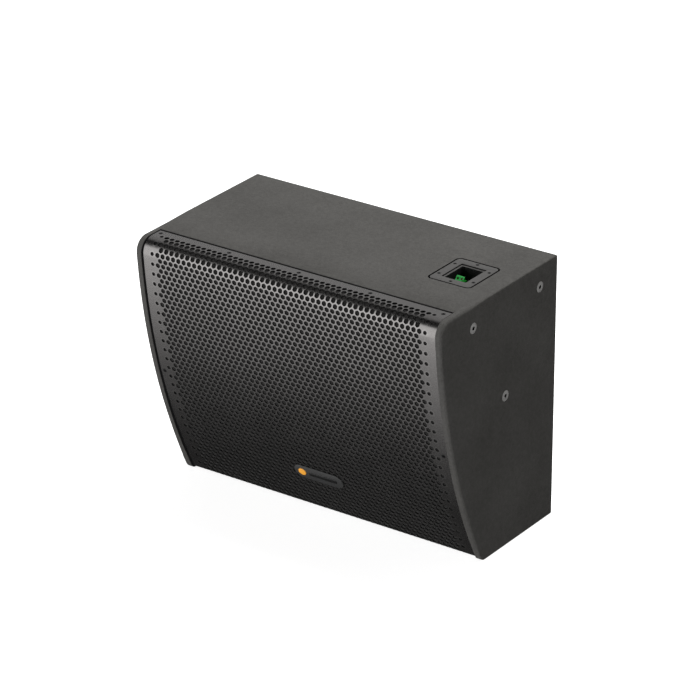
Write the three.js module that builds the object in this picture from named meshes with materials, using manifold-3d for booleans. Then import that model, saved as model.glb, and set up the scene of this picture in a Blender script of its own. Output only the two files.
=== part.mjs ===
// Compact two-way installation loudspeaker: a plywood cabinet with a flat back and a curved, forward-leaning front,
// a folded perforated steel grille, a recessed screw-terminal dish on top and M10 fixing points on both cheeks.
// Millimetres. +Z is up, the front faces -Y, +X is the side the terminal dish is on.
// The origin is the centre of the bounding box's bottom face.
import * as THREE from "three";
import { mergeVertices } from "three/addons/utils/BufferGeometryUtils.js";
import Module from "manifold-3d";

const wasm = await Module();
wasm.setup();

// ---------------------------------------------------------------- driving dimensions
const W = 616.4; // overall width
const H = 482; // overall height
const D = 347.9; // overall depth, back face to the foremost point of the front
const GAP = 0.3; // clearance between touching pieces
const CHEEK = 12; // side panel thickness
const PLY = 15; // top, bottom and back panel thickness
const BAFFLE = 18; // baffle thickness

const ARC_R = 1193.1; // radius of the curved front, in side view
const ARC_Z = 552.6; // height of its centre
const ARC_B = 841.11; // its centre, behind the back face
const TOP_R = 26; // bend between the top and the curved front
const BOTTOM_R = 16; // bend between the curved front and the bottom

const SHEET = 1.2; // grille steel thickness
const RECESS = 3; // grille face behind the cheeks' front edge
const TOP_RECESS = 0.4; // grille flange below the top face
const BOTTOM_RECESS = 2.2; // grille flange above the bottom face
const GRILLE_X = 294.4; // half width of the grille
const GRILLE_SHIFT = 1.2; // the sheet sits a little to the right, so the left gap is the wider one
const SEAM_B = 294; // front edge of the top panel's full-thickness part, from the back face
const SEAM_GAP = 3.4; // slot between the top panel and the grille's top flange
const BOTTOM_FLANGE_B = 178; // rear end of the grille's bottom flange

const FOAM = 5; // acoustic foam behind the grille
const BATTEN = 18; // width of the curved battens the grille's edges rest on

const TILT = 15.53; // lean of the baffle, degrees
const BAFFLE_C = [-261.7, 238.1]; // centre of the baffle's front face: distance from the back face, height
const BAFFLE_HALF = 231; // half length of the baffle along its slope

const FLY = [[-253, 442], [-53, 442], [-153, 282]]; // fixing points: distance from the back face, height
const FLY_HEAD_R = 9.7; // M10 countersunk head radius
const FLY_PLATE = 4; // thickness of the steel plates inside the cheeks

const DISH = { x: 223, b: -153, w: 82, d: 95, r: 8 }; // terminal dish flange
const DISH_WINDOW = [49, 61.5]; // opening in the flange
const DISH_PIT = [41, 53.5]; // pit below the ledge
const DISH_DEPTH = 42; // depth of the pit's floor
const POLE = 7.62; // pole pitch of the terminal block

const WOOFER = [-118, 0]; // woofer centre on the baffle: across, up the slope
const HORN = [165, 60]; // horn centre
const PORT = [165, -120]; // port centre

// ---------------------------------------------------------------- helpers
const YB = D / 2; // the back face in the part's own frame
const root = new THREE.Group();

const paint = (color, roughness, metalness = 0) =>
  new THREE.MeshStandardMaterial({ color, roughness, metalness });
const MAT = {
  cabinet: paint(0x4a4947, 0.75),
  wood: paint(0xb08a5a, 0.8),
  grille: paint(0x504f4e, 0.55, 0.3),
  foam: paint(0x2b2b2b, 1),
  screw: paint(0x2c2c2c, 0.4, 0.8),
  steel: paint(0x9a9a98, 0.4, 0.9),
  dish: paint(0x484746, 0.6),
  green: paint(0x2f8a3c, 0.45),
  badge: paint(0x2b2b2c, 0.35, 0.3),
  cast: paint(0x3a3b3d, 0.55, 0.5),
  magnet: paint(0x303032, 0.6, 0.4),
  zinc: paint(0xb7b9bb, 0.35, 0.9),
  cone: paint(0x222222, 0.9),
  rubber: paint(0x1c1c1c, 0.85),
  spider: paint(0xb9974f, 0.95),
  coil: paint(0xb06a3a, 0.4, 0.8),
  horn: paint(0x262626, 0.6),
  pcb: paint(0x28572f, 0.6),
  copper: paint(0xb56a35, 0.35, 0.9),
  film: paint(0xc9a13a, 0.5),
  wadding: paint(0xdedbd2, 1),
};

function add(name, geometry, material, parent = root) {
  const mesh = new THREE.Mesh(geometry, material);
  mesh.name = name;
  parent.add(mesh);
  return mesh;
}

function solid(geometry) {
  const g = geometry.clone();
  for (const k of Object.keys(g.attributes)) if (k !== "position") g.deleteAttribute(k);
  const m = mergeVertices(g, 1e-4);
  return new wasm.Manifold(
    new wasm.Mesh({
      numProp: 3,
      vertProperties: m.attributes.position.array,
      triVerts: new Uint32Array(m.index.array),
    }),
  );
}

function geometryOf(manifold) {
  const m = manifold.getMesh();
  const n = m.numProp;
  const pos = new Float32Array((m.vertProperties.length / n) * 3);
  for (let i = 0; i < pos.length / 3; i++)
    for (let k = 0; k < 3; k++) pos[i * 3 + k] = m.vertProperties[i * n + k];
  const g = new THREE.BufferGeometry();
  g.setAttribute("position", new THREE.BufferAttribute(pos, 3));
  g.setIndex(Array.from(m.triVerts));
  g.computeVertexNormals();
  return g;
}

function cut(geometry, cutters) {
  let s = solid(geometry);
  for (const c of cutters) s = s.subtract(solid(c));
  return geometryOf(s);
}

function join(list) {
  let s = solid(list[0]);
  for (const g of list.slice(1)) s = s.add(solid(g));
  return s;
}

// A box between two corners.
function box(x0, x1, y0, y1, z0, z1) {
  const g = new THREE.BoxGeometry(x1 - x0, y1 - y0, z1 - z0);
  g.translate((x0 + x1) / 2, (y0 + y1) / 2, (z0 + z1) / 2);
  return g;
}

// A side-view outline, points [distance from the back face (negative to the front), height], swept from x0 to x1.
function slab(points, x0, x1) {
  const shape = new THREE.Shape(points.map(([b, z]) => new THREE.Vector2(b + YB, z)));
  const g = new THREE.ExtrudeGeometry(shape, { depth: x1 - x0, bevelEnabled: false, steps: 1 });
  // shape x -> +Y, shape y -> +Z, extrusion -> +X
  g.applyMatrix4(new THREE.Matrix4().makeBasis(new THREE.Vector3(0, 1, 0), new THREE.Vector3(0, 0, 1), new THREE.Vector3(1, 0, 0)));
  g.translate(x0, 0, 0);
  return g;
}

// A rounded rectangle centred on (x, y), w across and d deep, between two heights.
function roundedPlate(x, y, w, d, r, z0, z1, segments = 3) {
  const s = new THREE.Shape();
  const a = w / 2, b = d / 2;
  s.moveTo(-a + r, -b);
  s.lineTo(a - r, -b);
  s.absarc(a - r, -b + r, r, -Math.PI / 2, 0, false);
  s.lineTo(a, b - r);
  s.absarc(a - r, b - r, r, 0, Math.PI / 2, false);
  s.lineTo(-a + r, b);
  s.absarc(-a + r, b - r, r, Math.PI / 2, Math.PI, false);
  s.lineTo(-a, -b + r);
  s.absarc(-a + r, -b + r, r, Math.PI, 1.5 * Math.PI, false);
  const g = new THREE.ExtrudeGeometry(s, { depth: z1 - z0, bevelEnabled: false, curveSegments: segments });
  g.translate(x, y, z0);
  return g;
}

// A turned piece: closed profile of [radius, height along the axis] run round local +Y.
// Profiles run anticlockwise (radius across, height up) so that the faces point out.
function turned(profile, segments = 24, closed = true) {
  const pts = profile.map(([r, h]) => new THREE.Vector2(r, h));
  if (closed) pts.push(pts[0].clone());
  return new THREE.LatheGeometry(pts, segments);
}

// The same, with its axis turned to local +Z.
function turnedZ(profile, segments = 24, closed = true) {
  const g = turned(profile, segments, closed);
  g.rotateX(Math.PI / 2);
  return g;
}

// Points of the side-view outline of the front, offset inwards by t from the cheeks' edge,
// from (on the top) to (on the bottom).
function frontCurve(t, topZ, bottomZ, rTop, rBottom, nArc = 22) {
  const R = ARC_R - t;
  const c = [ARC_B, ARC_Z];
  const pts = [];
  // top bend
  const ct = [c[0] - Math.sqrt((R - rTop) ** 2 - (ARC_Z - (topZ - rTop)) ** 2), topZ - rTop];
  const aTop = Math.atan2(ct[1] - c[1], ct[0] - c[0]); // direction from the arc's centre to the bend's centre
  const nt = 8;
  const a0 = Math.PI / 2;
  const a1 = aTop < 0 ? aTop + 2 * Math.PI : aTop;
  for (let i = 0; i <= nt; i++) {
    const a = a0 + ((a1 - a0) * i) / nt;
    pts.push([ct[0] + rTop * Math.cos(a), ct[1] + rTop * Math.sin(a)]);
  }
  // bottom bend
  const cb = [c[0] - Math.sqrt((R - rBottom) ** 2 - (ARC_Z - (bottomZ + rBottom)) ** 2), bottomZ + rBottom];
  let b1 = Math.atan2(cb[1] - c[1], cb[0] - c[0]);
  if (b1 < 0) b1 += 2 * Math.PI;
  for (let i = 1; i < nArc; i++) {
    const a = a1 + ((b1 - a1) * i) / nArc;
    pts.push([c[0] + R * Math.cos(a), c[1] + R * Math.sin(a)]);
  }
  const nb = 6;
  for (let i = 0; i <= nb; i++) {
    const a = b1 + ((1.5 * Math.PI - b1) * i) / nb;
    pts.push([cb[0] + rBottom * Math.cos(a), cb[1] + rBottom * Math.sin(a)]);
  }
  return pts;
}
// Distance from the back face of the curved front at a height, offset inwards by t.
const frontAt = (z, t = 0) => ARC_B - Math.sqrt((ARC_R - t) ** 2 - (ARC_Z - z) ** 2);

// ---------------------------------------------------------------- cabinet
const outline = frontCurve(0, H, 0, TOP_R, BOTTOM_R);
const cheekProfile = [[0, 0], [0, H], ...outline];

// countersunk M10 hole through a cheek whose outer face is at x = side * W / 2
function flyCutters(side, gap) {
  return FLY.map(([b, z]) => {
    const pts = [
      [0, -40], [5 + gap, -40], [5 + gap, -5.2], [FLY_HEAD_R + gap, -0.5], [FLY_HEAD_R + gap, 2], [0, 2],
    ];
    const g = turned(pts, 12, true);
    g.rotateZ(side > 0 ? -Math.PI / 2 : Math.PI / 2); // +Y -> outwards
    g.translate((side * W) / 2, b + YB, z);
    return g;
  });
}
for (const [name, side] of [["left_cheek", -1], ["right_cheek", 1]]) {
  const x0 = side > 0 ? W / 2 - CHEEK : -W / 2;
  add(name, cut(slab(cheekProfile, x0, x0 + CHEEK), flyCutters(side, 0.3)), MAT.cabinet);
}

const IN_X = W / 2 - CHEEK - GAP; // inner panels' half width
const topScrewX = [-285, -142.5, 0, 142.5, 285];
const TOP_SCREW_B = -305.8;

// countersunk cutter for a grille screw, axis local +Y out of the sheet, y = 0 at the sheet's outer face
const screwCutter = (headR, shankR, depth) =>
  turned([[0, -depth], [shankR, -depth], [shankR, -SHEET - 0.3], [headR, -0.1], [headR, 1], [0, 1]], 8, true);

// top panel: rebated along its front edge for the grille's flange
{
  const full = SEAM_B;
  const under = H - TOP_RECESS - SHEET - GAP;
  const profile = [
    [0, H - PLY], [0, H], [-full, H], [-full, under], [-318, under], [-333, under - 9], [-333, H - PLY],
  ];
  const panel = slab(profile, -IN_X, IN_X);
  const cutters = [
    roundedPlate(DISH.x, DISH.b + YB, DISH.w + 1.8, DISH.d + 1.8, DISH.r + 0.9, H - 3.1, H + 5),
    roundedPlate(DISH.x, DISH.b + YB, 55, 67.5, 4, H - PLY - 5, H + 5, 2),
    ...terminalScrewSpots().map(([x, y]) => {
      const g = new THREE.CylinderGeometry(1.9, 1.9, 12.2, 8);
      g.rotateX(Math.PI / 2);
      g.translate(x, y, H - 3 - 6);
      return g;
    }),
    ...topScrewX.map((x) => {
      const g = new THREE.CylinderGeometry(2.2, 2.2, 40, 10);
      g.rotateX(Math.PI / 2);
      g.translate(x, TOP_SCREW_B + YB, H - 5);
      return g;
    }),
  ];
  add("top_panel", cut(panel, cutters), MAT.cabinet);
}

function terminalScrewSpots() {
  const y = DISH.b + YB;
  return [
    [DISH.x - 33.8, y + 23.6], [DISH.x + 33.8, y + 23.6], [DISH.x - 33.8, y - 23.6],
    [DISH.x + 33.8, y - 23.6], [DISH.x, y + 40], [DISH.x, y - 40],
  ];
}

// bottom panel: rebated along its front edge
{
  const over = BOTTOM_RECESS + SHEET + GAP + 0.3;
  const profile = [
    [0, 0], [0, PLY], [-199, PLY], [-199, over + 4], [-195, over], [-(BOTTOM_FLANGE_B - 2.4), over], [-(BOTTOM_FLANGE_B - 2.4), 0],
  ].reverse();
  add("bottom_panel", slab(profile, -IN_X, IN_X), MAT.cabinet);
}

add("back_panel", box(-IN_X, IN_X, YB - PLY, YB, PLY + GAP, H - PLY - GAP), MAT.cabinet);

// ---------------------------------------------------------------- baffle frame of reference
// local +X across, local +Y up the slope, local +Z out of the front face
const baffleGroup = new THREE.Group();
baffleGroup.position.set(0, BAFFLE_C[0] + YB, BAFFLE_C[1]);
baffleGroup.rotation.x = THREE.MathUtils.degToRad(90 + TILT);
root.add(baffleGroup);

const WOOFER_BOLT_R = 147;
const wooferBolts = [45, 135, 225, 315].map((d) => {
  const a = THREE.MathUtils.degToRad(d);
  return [WOOFER[0] + WOOFER_BOLT_R * Math.cos(a), WOOFER[1] + WOOFER_BOLT_R * Math.sin(a)];
});
{
  const s = new THREE.Shape();
  s.moveTo(-IN_X, -BAFFLE_HALF);
  s.lineTo(IN_X, -BAFFLE_HALF);
  s.lineTo(IN_X, BAFFLE_HALF);
  s.lineTo(-IN_X, BAFFLE_HALF);
  const hole = (x, y, r) => {
    const p = new THREE.Path();
    p.absarc(x, y, r, 0, 2 * Math.PI, true);
    return p;
  };
  s.holes.push(hole(WOOFER[0], WOOFER[1], 141.5), hole(PORT[0], PORT[1], 38.5));
  const q = new THREE.Path();
  q.moveTo(HORN[0] - 92, HORN[1] - 66);
  q.lineTo(HORN[0] - 92, HORN[1] + 66);
  q.lineTo(HORN[0] + 92, HORN[1] + 66);
  q.lineTo(HORN[0] + 92, HORN[1] - 66);
  s.holes.push(q);
  const g = new THREE.ExtrudeGeometry(s, { depth: BAFFLE, bevelEnabled: false, curveSegments: 28 });
  g.translate(0, 0, -BAFFLE);
  const cutters = wooferBolts.map(([x, y]) => {
    const c = new THREE.CylinderGeometry(2.9, 2.9, 60, 8);
    c.rotateX(Math.PI / 2);
    c.translate(x, y, 0);
    return c;
  });
  add("baffle_board", cut(g, cutters), MAT.wood, baffleGroup);
}
// height on the baffle's front face -> distance from the back face
const baffleFrontAt = (z, off = 0) => {
  const t = THREE.MathUtils.degToRad(TILT);
  return BAFFLE_C[0] - (z - BAFFLE_C[1]) * Math.tan(t) - off / Math.cos(t);
};

// strut between the baffle and the back panel
{
  const z0 = 218, z1 = 262, off = -BAFFLE - GAP;
  const profile = [
    [-PLY - GAP, z0], [-PLY - GAP, z1], [baffleFrontAt(z1, off), z1], [baffleFrontAt(z0, off), z0],
  ];
  add("brace_strut", slab(profile, 38, 56), MAT.wood);
}

// curved battens behind the grille's side edges
const SIDE_SCREW_Z = 225.5;
{
  const t = RECESS + SHEET + GAP;
  const z0 = 24, z1 = 452, n = 14;
  const front = [];
  for (let i = 0; i <= n; i++) {
    const z = z1 + ((z0 - z1) * i) / n;
    front.push([frontAt(z, t), z]);
  }
  const profile = [[baffleFrontAt(z1, GAP), z1], ...front, [baffleFrontAt(z0, GAP), z0]].reverse();
  for (const [name, side] of [["grille_batten_left", -1], ["grille_batten_right", 1]]) {
    const a = side * IN_X, b = side * (IN_X - BATTEN);
    const g = slab(profile, Math.min(a, b), Math.max(a, b));
    const c = new THREE.CylinderGeometry(2.2, 2.2, 60, 10);
    placeOnFront(c, side * 286, SIDE_SCREW_Z);
    add(name, cut(g, [c]), MAT.wood);
  }
}

// Turn a +Y-axis geometry so that +Y is the outward normal of the grille's face at a height, and move it there.
function placeOnFront(g, x, z, t = RECESS) {
  const b = frontAt(z, t);
  const n = new THREE.Vector3(0, b - ARC_B, z - ARC_Z).normalize();
  const q = new THREE.Quaternion().setFromUnitVectors(new THREE.Vector3(0, 1, 0), n);
  g.applyQuaternion(q);
  g.translate(x, b + YB, z);
  return g;
}

// ---------------------------------------------------------------- grille
const grilleOuter = [
  [-(SEAM_B + SEAM_GAP), H - TOP_RECESS],
  ...frontCurve(RECESS, H - TOP_RECESS, BOTTOM_RECESS, TOP_R - 0.8, BOTTOM_R - 2),
  [-BOTTOM_FLANGE_B, BOTTOM_RECESS],
];
const grilleInner = [
  [-(SEAM_B + SEAM_GAP), H - TOP_RECESS - SHEET],
  ...frontCurve(RECESS + SHEET, H - TOP_RECESS - SHEET, BOTTOM_RECESS + SHEET, TOP_R - 0.8 - SHEET, BOTTOM_R - 2 - SHEET),
  [-BOTTOM_FLANGE_B, BOTTOM_RECESS + SHEET],
];
{
  const profile = [...grilleOuter, ...grilleInner.reverse()];
  const cutters = [
    ...topScrewX.map((x) => {
      const g = screwCutter(3.8, 2.2, 8);
      g.rotateX(Math.PI / 2);
      g.translate(x, TOP_SCREW_B + YB, H - TOP_RECESS);
      return g;
    }),
    ...[-1, 1].map((s) => placeOnFront(screwCutter(3.8, 2.2, 8), s * 286, SIDE_SCREW_Z)),
  ];
  add("grille", cut(slab(profile, GRILLE_SHIFT - GRILLE_X, GRILLE_SHIFT + GRILLE_X), cutters), MAT.grille);
}
// countersunk grille screw, axis +Y, head flush with the sheet
const grilleScrew = () =>
  turned(
    [[0, -1.2], [1.2, -1.2], [1.2, -0.15], [3.4, -0.15], [1.8, -SHEET - 0.3], [1.8, -13], [0, -13]].reverse(),
    8, false,
  );
topScrewX.forEach((x, i) => {
  const g = grilleScrew();
  g.rotateX(Math.PI / 2);
  add(`grille_screw_top_${i + 1}`, g, MAT.screw).position.set(x, TOP_SCREW_B + YB, H - TOP_RECESS);
});
for (const [name, s] of [["grille_screw_left", -1], ["grille_screw_right", 1]])
  add(name, placeOnFront(grilleScrew(), s * 286, SIDE_SCREW_Z), MAT.screw);

// foam sheet between the battens, close behind the grille
{
  const t0 = RECESS + SHEET + 0.5, t1 = t0 + FOAM, z0 = 26, z1 = 448, n = 16;
  const a = [], b = [];
  for (let i = 0; i <= n; i++) {
    const z = z1 + ((z0 - z1) * i) / n;
    a.push([frontAt(z, t0), z]);
    b.push([frontAt(z, t1), z]);
  }
  add("grille_foam", slab([...a, ...b.reverse()], -(IN_X - BATTEN - 0.5), IN_X - BATTEN - 0.5), MAT.foam);
}

// plain oval badge, fixed on the grille
{
  const z = 87;
  const g = roundedPlate(0, 0, 100, 30, 15, 0.3, 2.1, 6);
  const b = frontAt(z, RECESS);
  const n = new THREE.Vector3(0, b - ARC_B, z - ARC_Z).normalize();
  const m = add("badge", g, MAT.badge);
  m.position.set(2, b + YB, z);
  m.rotation.x = Math.atan2(-n.y, n.z);
}

// ---------------------------------------------------------------- terminal dish
{
  const y = DISH.b + YB;
  const body = join([
    roundedPlate(DISH.x, y, DISH.w, DISH.d, DISH.r, H - 2.8, H),
    roundedPlate(DISH.x, y, 54, 66.5, 3.5, H - 5, H - 2.7, 2),
    roundedPlate(DISH.x, y, DISH_PIT[0] + 5, DISH_PIT[1] + 5, 3, H - DISH_DEPTH - 2.5, H - 4.9, 2),
  ]);
  let s = body
    .subtract(solid(roundedPlate(DISH.x, y, DISH_WINDOW[0], DISH_WINDOW[1], 2, H - 2.5, H + 5, 2)))
    .subtract(solid(roundedPlate(DISH.x, y, DISH_PIT[0], DISH_PIT[1], 1.5, H - DISH_DEPTH, H + 5, 2)));
  for (const [x, yy] of terminalScrewSpots()) {
    const g = turned([[0, -6], [1.9, -6], [1.9, -2], [3.2, -0.4], [3.2, 2], [0, 2]], 8, true);
    g.rotateX(Math.PI / 2);
    g.translate(x, yy, H);
    s = s.subtract(solid(g));
  }
  add("terminal_dish", geometryOf(s), MAT.dish);
}
terminalScrewSpots().forEach(([x, y], i) => {
  const g = turned(
    [[0, -0.9], [1.0, -0.9], [1.0, 0], [2.8, 0], [2.8, -0.5], [1.5, -2], [1.5, -12], [0, -12]].reverse(), 8, false,
  );
  g.rotateX(Math.PI / 2);
  add(`terminal_screw_${i + 1}`, g, MAT.screw).position.set(x, y, H - 0.2);
});

// two-pole pluggable terminal: header fixed on the pit's floor, plug pulled off upwards
const TB = { x0: 208, x1: 223.4, back: -150.5 };
{
  const yb = TB.back + YB;
  const z0 = H - DISH_DEPTH + GAP, z1 = H - 31;
  const px = [211.9, 219.5];
  const header = join([
    box(TB.x0, TB.x1, yb - 17, yb, z0, z1),
    ...px.map((x) => box(x - 0.6, x + 0.6, yb - 9.1, yb - 7.9, z1 - 1, z1 + 8)),
  ]);
  add("terminal_header", geometryOf(header), MAT.green);

  // side view of the plug: a screw face sloping down from the back, wire entries in the front face below it
  const zt = H - 8;
  const profile = [
    [TB.back, z1 + GAP], [TB.back, zt], [TB.back - 1, zt], [TB.back - 10, zt - 9], [TB.back - 17, zt - 9],
    [TB.back - 17, z1 + GAP],
  ];
  const tilt = Math.PI / 4; // the screw face's slope
  const cutters = [
    ...px.map((x) => box(x - 1.2, x + 1.2, yb - 9.7, yb - 7.3, z1 - 2, z1 + 9)),
    ...px.map((x) => {
      const g = new THREE.CylinderGeometry(2, 2, 9, 10);
      g.translate(x, yb - 13.2, z1 + 5);
      return g;
    }),
    ...px.map((x) => {
      const g = new THREE.CylinderGeometry(1.9, 1.9, 6.8, 12);
      g.translate(0, -0.4, 0);
      g.rotateX(Math.PI / 2 + tilt);
      g.translate(x, yb - 4.25, zt - 3.25);
      return g;
    }),
  ];
  const body = join([
    slab(profile, TB.x0, TB.x1),
    box(TB.x1 - 0.5, TB.x1 + 6, yb - 14, yb - 3, z1 + GAP, zt - 3.5),
  ]);
  add("terminal_plug", cut(geometryOf(body), cutters), MAT.green);
  px.forEach((x, i) => {
    const g = turned([[0, -3.4], [1.6, -3.4], [1.6, 0], [0, 0]], 12, false);
    g.rotateX(Math.PI / 2);
    const slot = box(-2, 2, -0.3, 0.3, -0.8, 1);
    const m = add(`clamp_screw_${i + 1}`, cut(g, [slot]), MAT.zinc);
    m.rotation.x = tilt;
    m.position.set(x, yb - 4.25 + 0.2 * Math.sin(tilt), zt - 3.25 - 0.2 * Math.cos(tilt));
  });
}

// ---------------------------------------------------------------- fixing points
for (const [word, side] of [["left", -1], ["right", 1]]) {
  const x1 = side * (IN_X), x0 = side * (IN_X - FLY_PLATE);
  const m = 19;
  const plate = [
    [FLY[1][0] + m, FLY[1][1] + m - 3], [FLY[0][0] - m, FLY[0][1] + m - 3], [FLY[0][0] - m, FLY[0][1] - m + 4],
    [FLY[2][0] - m, FLY[2][1] - m], [FLY[2][0] + m, FLY[2][1] - m], [FLY[1][0] + m, FLY[1][1] - m + 4],
  ];
  const holes = FLY.map(([b, z]) => {
    const g = new THREE.CylinderGeometry(5.3, 5.3, 60, 14);
    g.rotateZ(Math.PI / 2);
    g.translate(side * IN_X, b + YB, z);
    return g;
  });
  add(`fly_plate_${word}`, cut(slab(plate, Math.min(x0, x1), Math.max(x0, x1)), holes), MAT.steel);
  FLY.forEach(([b, z], i) => {
    const g = turned(
      [[0, -4.5], [3.4, -4.5], [3.4, -0.4], [FLY_HEAD_R - 0.2, -0.4], [FLY_HEAD_R, -0.8], [5, -5.5], [5, -28], [0, -28]].reverse(),
      12, false,
    );
    g.rotateZ(side > 0 ? -Math.PI / 2 : Math.PI / 2);
    add(`fly_screw_${word}_${i + 1}`, g, MAT.steel).position.set((side * W) / 2, b + YB, z);
  });
}

// ---------------------------------------------------------------- woofer, in the baffle's frame
{
  const w = new THREE.Group();
  w.position.set(WOOFER[0], WOOFER[1], 0);
  baffleGroup.add(w);
  const SEG = 24;
  // basket: flange, conical wall with six windows, base plate
  let basket = solid(turnedZ([
    [154, 0.4], [154, 6.4], [138, 6.4], [138, 3], [131, 3], [131, -2], [71, -84], [41, -84], [41, -88], [74.5, -88], [135.5, -4], [140.3, 0.4],
  ], SEG));
  for (let i = 0; i < 6; i++) {
    const g = new THREE.BoxGeometry(48, 46, 130);
    g.rotateZ(0);
    g.translate(0, 104, -36);
    g.rotateZ((i * Math.PI) / 3 + 0.2);
    // keep the window between the base ring and the mouth ring
    const keep = turnedZ([[0, -70], [200, -70], [200, -20], [0, -20]], SEG);
    basket = basket.subtract(solid(g).intersect(solid(keep)));
  }
  for (const [x, y] of wooferBolts) {
    const c = new THREE.CylinderGeometry(2.9, 2.9, 60, 8);
    c.rotateX(Math.PI / 2);
    c.translate(x - WOOFER[0], y - WOOFER[1], 0);
    basket = basket.subtract(solid(c));
  }
  add("woofer_basket", geometryOf(basket), MAT.cast, w);
  add("woofer_top_plate", turnedZ([[39.4, -96.3], [61, -96.3], [61, -88.3], [39.4, -88.3]], SEG), MAT.zinc, w);
  add("woofer_magnet", turnedZ([[46, -112.6], [60, -112.6], [60, -96.6], [46, -96.6]], SEG), MAT.magnet, w);
  add("woofer_yoke", turnedZ([
    [10, -121], [58, -121], [61, -118], [61, -112.9], [36.4, -112.9], [36.4, -88], [10, -88],
  ], SEG), MAT.zinc, w);
  add("woofer_voice_coil", turnedZ([[37.3, -103], [38.3, -103], [38.3, -60], [37.3, -60]], SEG), MAT.coil, w);
  add("woofer_cone", turnedZ([
    [38.7, -62], [40, -62], [119, -8], [119, -6.2], [116.5, -6.2], [38.7, -59.6],
  ], SEG), MAT.cone, w);
  add("woofer_dust_cap", turnedZ([
    [0, -40], [16, -41.5], [31, -45.6], [43, -52], [43.6, -55.5], [30.5, -46.9], [16, -42.9], [0, -41.4],
  ].reverse(), SEG, false), MAT.cone, w);
  add("woofer_surround", turnedZ([
    [119.6, -6], [121, -6], [122, 3], [127, 7.4], [131, 3.4], [137.6, 3.4], [137.6, 4.8], [132.2, 4.8], [127, 9], [120.6, 4],
  ], SEG), MAT.rubber, w);
  add("woofer_spider", turnedZ([
    [38.9, -77], [47, -75.4], [56, -77.4], [65, -75.4], [74.5, -77], [74.5, -75.8], [65, -74.2], [56, -76.2], [47, -74.2], [38.9, -75.8],
  ], SEG), MAT.spider, w);
  wooferBolts.forEach(([x, y], i) => {
    const g = turnedZ([[0, 8.4], [2.2, 8.4], [2.2, 11.7], [4.2, 11.7], [4.2, 6.7], [2.5, 6.7], [2.5, -22], [0, -22]].reverse(), 10, false);
    add(`woofer_bolt_${i + 1}`, g, MAT.screw, w).position.set(x - WOOFER[0], y - WOOFER[1], 0);
  });
}

// ---------------------------------------------------------------- high-frequency horn and driver
{
  const h = new THREE.Group();
  h.position.set(HORN[0], HORN[1], 0);
  baffleGroup.add(h);
  // A loft through rings of equal point count, capped at both ends.
  const loft = (rings) => {
    const n = rings[0].length, pos = [], idx = [];
    for (const ring of rings) for (const p of ring) pos.push(...p);
    for (let k = 0; k + 1 < rings.length; k++)
      for (let i = 0; i < n; i++) {
        const a = k * n + i, b = k * n + ((i + 1) % n), c = a + n, d = b + n;
        idx.push(a, b, d, a, d, c);
      }
    const cap = (k, flip) => {
      const c = pos.length / 3;
      const m = rings[k].reduce((s, p) => [s[0] + p[0] / n, s[1] + p[1] / n, s[2] + p[2] / n], [0, 0, 0]);
      pos.push(...m);
      for (let i = 0; i < n; i++) {
        const a = k * n + i, b = k * n + ((i + 1) % n);
        flip ? idx.push(c, b, a) : idx.push(c, a, b);
      }
    };
    cap(0, true);
    cap(rings.length - 1, false);
    const g = new THREE.BufferGeometry();
    g.setAttribute("position", new THREE.BufferAttribute(new Float32Array(pos), 3));
    g.setIndex(idx);
    return g;
  };
  const N = 24;
  const section = (a, b, p, z) => {
    const ring = [];
    for (let i = 0; i < N; i++) {
      const t = (2 * Math.PI * (i + 0.5)) / N;
      const c = Math.cos(t), s = Math.sin(t);
      ring.push([a * Math.sign(c) * Math.abs(c) ** p, b * Math.sign(s) * Math.abs(s) ** p, z]);
    }
    return ring;
  };
  const steps = [[-95, 12.7, 12.7, 1], [-70, 24, 19, 0.8], [-40, 48, 33, 0.5], [-15, 72, 50, 0.35], [6, 88, 64, 0.25]];
  const outer = loft(steps.map(([z, a, b, p]) => section(a + 3, b + 3, p, z)).map((r) => r));
  const inner = loft(steps.map(([z, a, b, p], i) => section(a, b, p, i === 0 ? z - 2 : i === steps.length - 1 ? z + 3 : z)));
  const flange = roundedPlate(0, 0, 214, 164, 8, 0.4, 5.4);
  const throat = turnedZ([[0, -95], [38, -95], [38, -90], [0, -90]], 20, true);
  // trim the loft's own mouth flush with the flange
  const trim = box(-130, 130, -100, 100, 5.4, 30);
  const horn = solid(outer).add(solid(flange)).add(solid(throat)).subtract(solid(trim)).subtract(solid(inner));
  add("hf_horn", geometryOf(horn), MAT.horn, h);
  add("hf_driver", turnedZ([
    [12.7, -116], [30, -116], [30, -121], [26, -121], [26, -132.5], [42, -132.5], [45, -130], [45, -97], [38, -95.3], [12.7, -95.3],
  ], 16), MAT.magnet, h);
  add("hf_diaphragm", turnedZ([
    [0, -118.9], [10, -119.8], [18, -122.6], [22, -126], [24.6, -126], [24.6, -126.8], [21.6, -126.8], [17.4, -123.6], [9.8, -120.8], [0, -119.8],
  ].reverse(), 16, false), MAT.zinc, h);
  add("hf_rear_cap", turnedZ([
    [0, -152], [38, -152], [42, -148], [42, -132.8], [38.5, -132.8], [38.5, -146], [36, -149], [0, -149],
  ], 16, true), MAT.cast, h);
}

// reflex port
{
  const p = new THREE.Group();
  p.position.set(PORT[0], PORT[1], 0);
  baffleGroup.add(p);
  add("port_tube", turnedZ([
    [35, -125], [38, -125], [38, 0.4], [46, 0.4], [46, 3.4], [41, 3.4], [36.5, -2], [35, -10],
  ], 20), MAT.horn, p);
}

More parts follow.
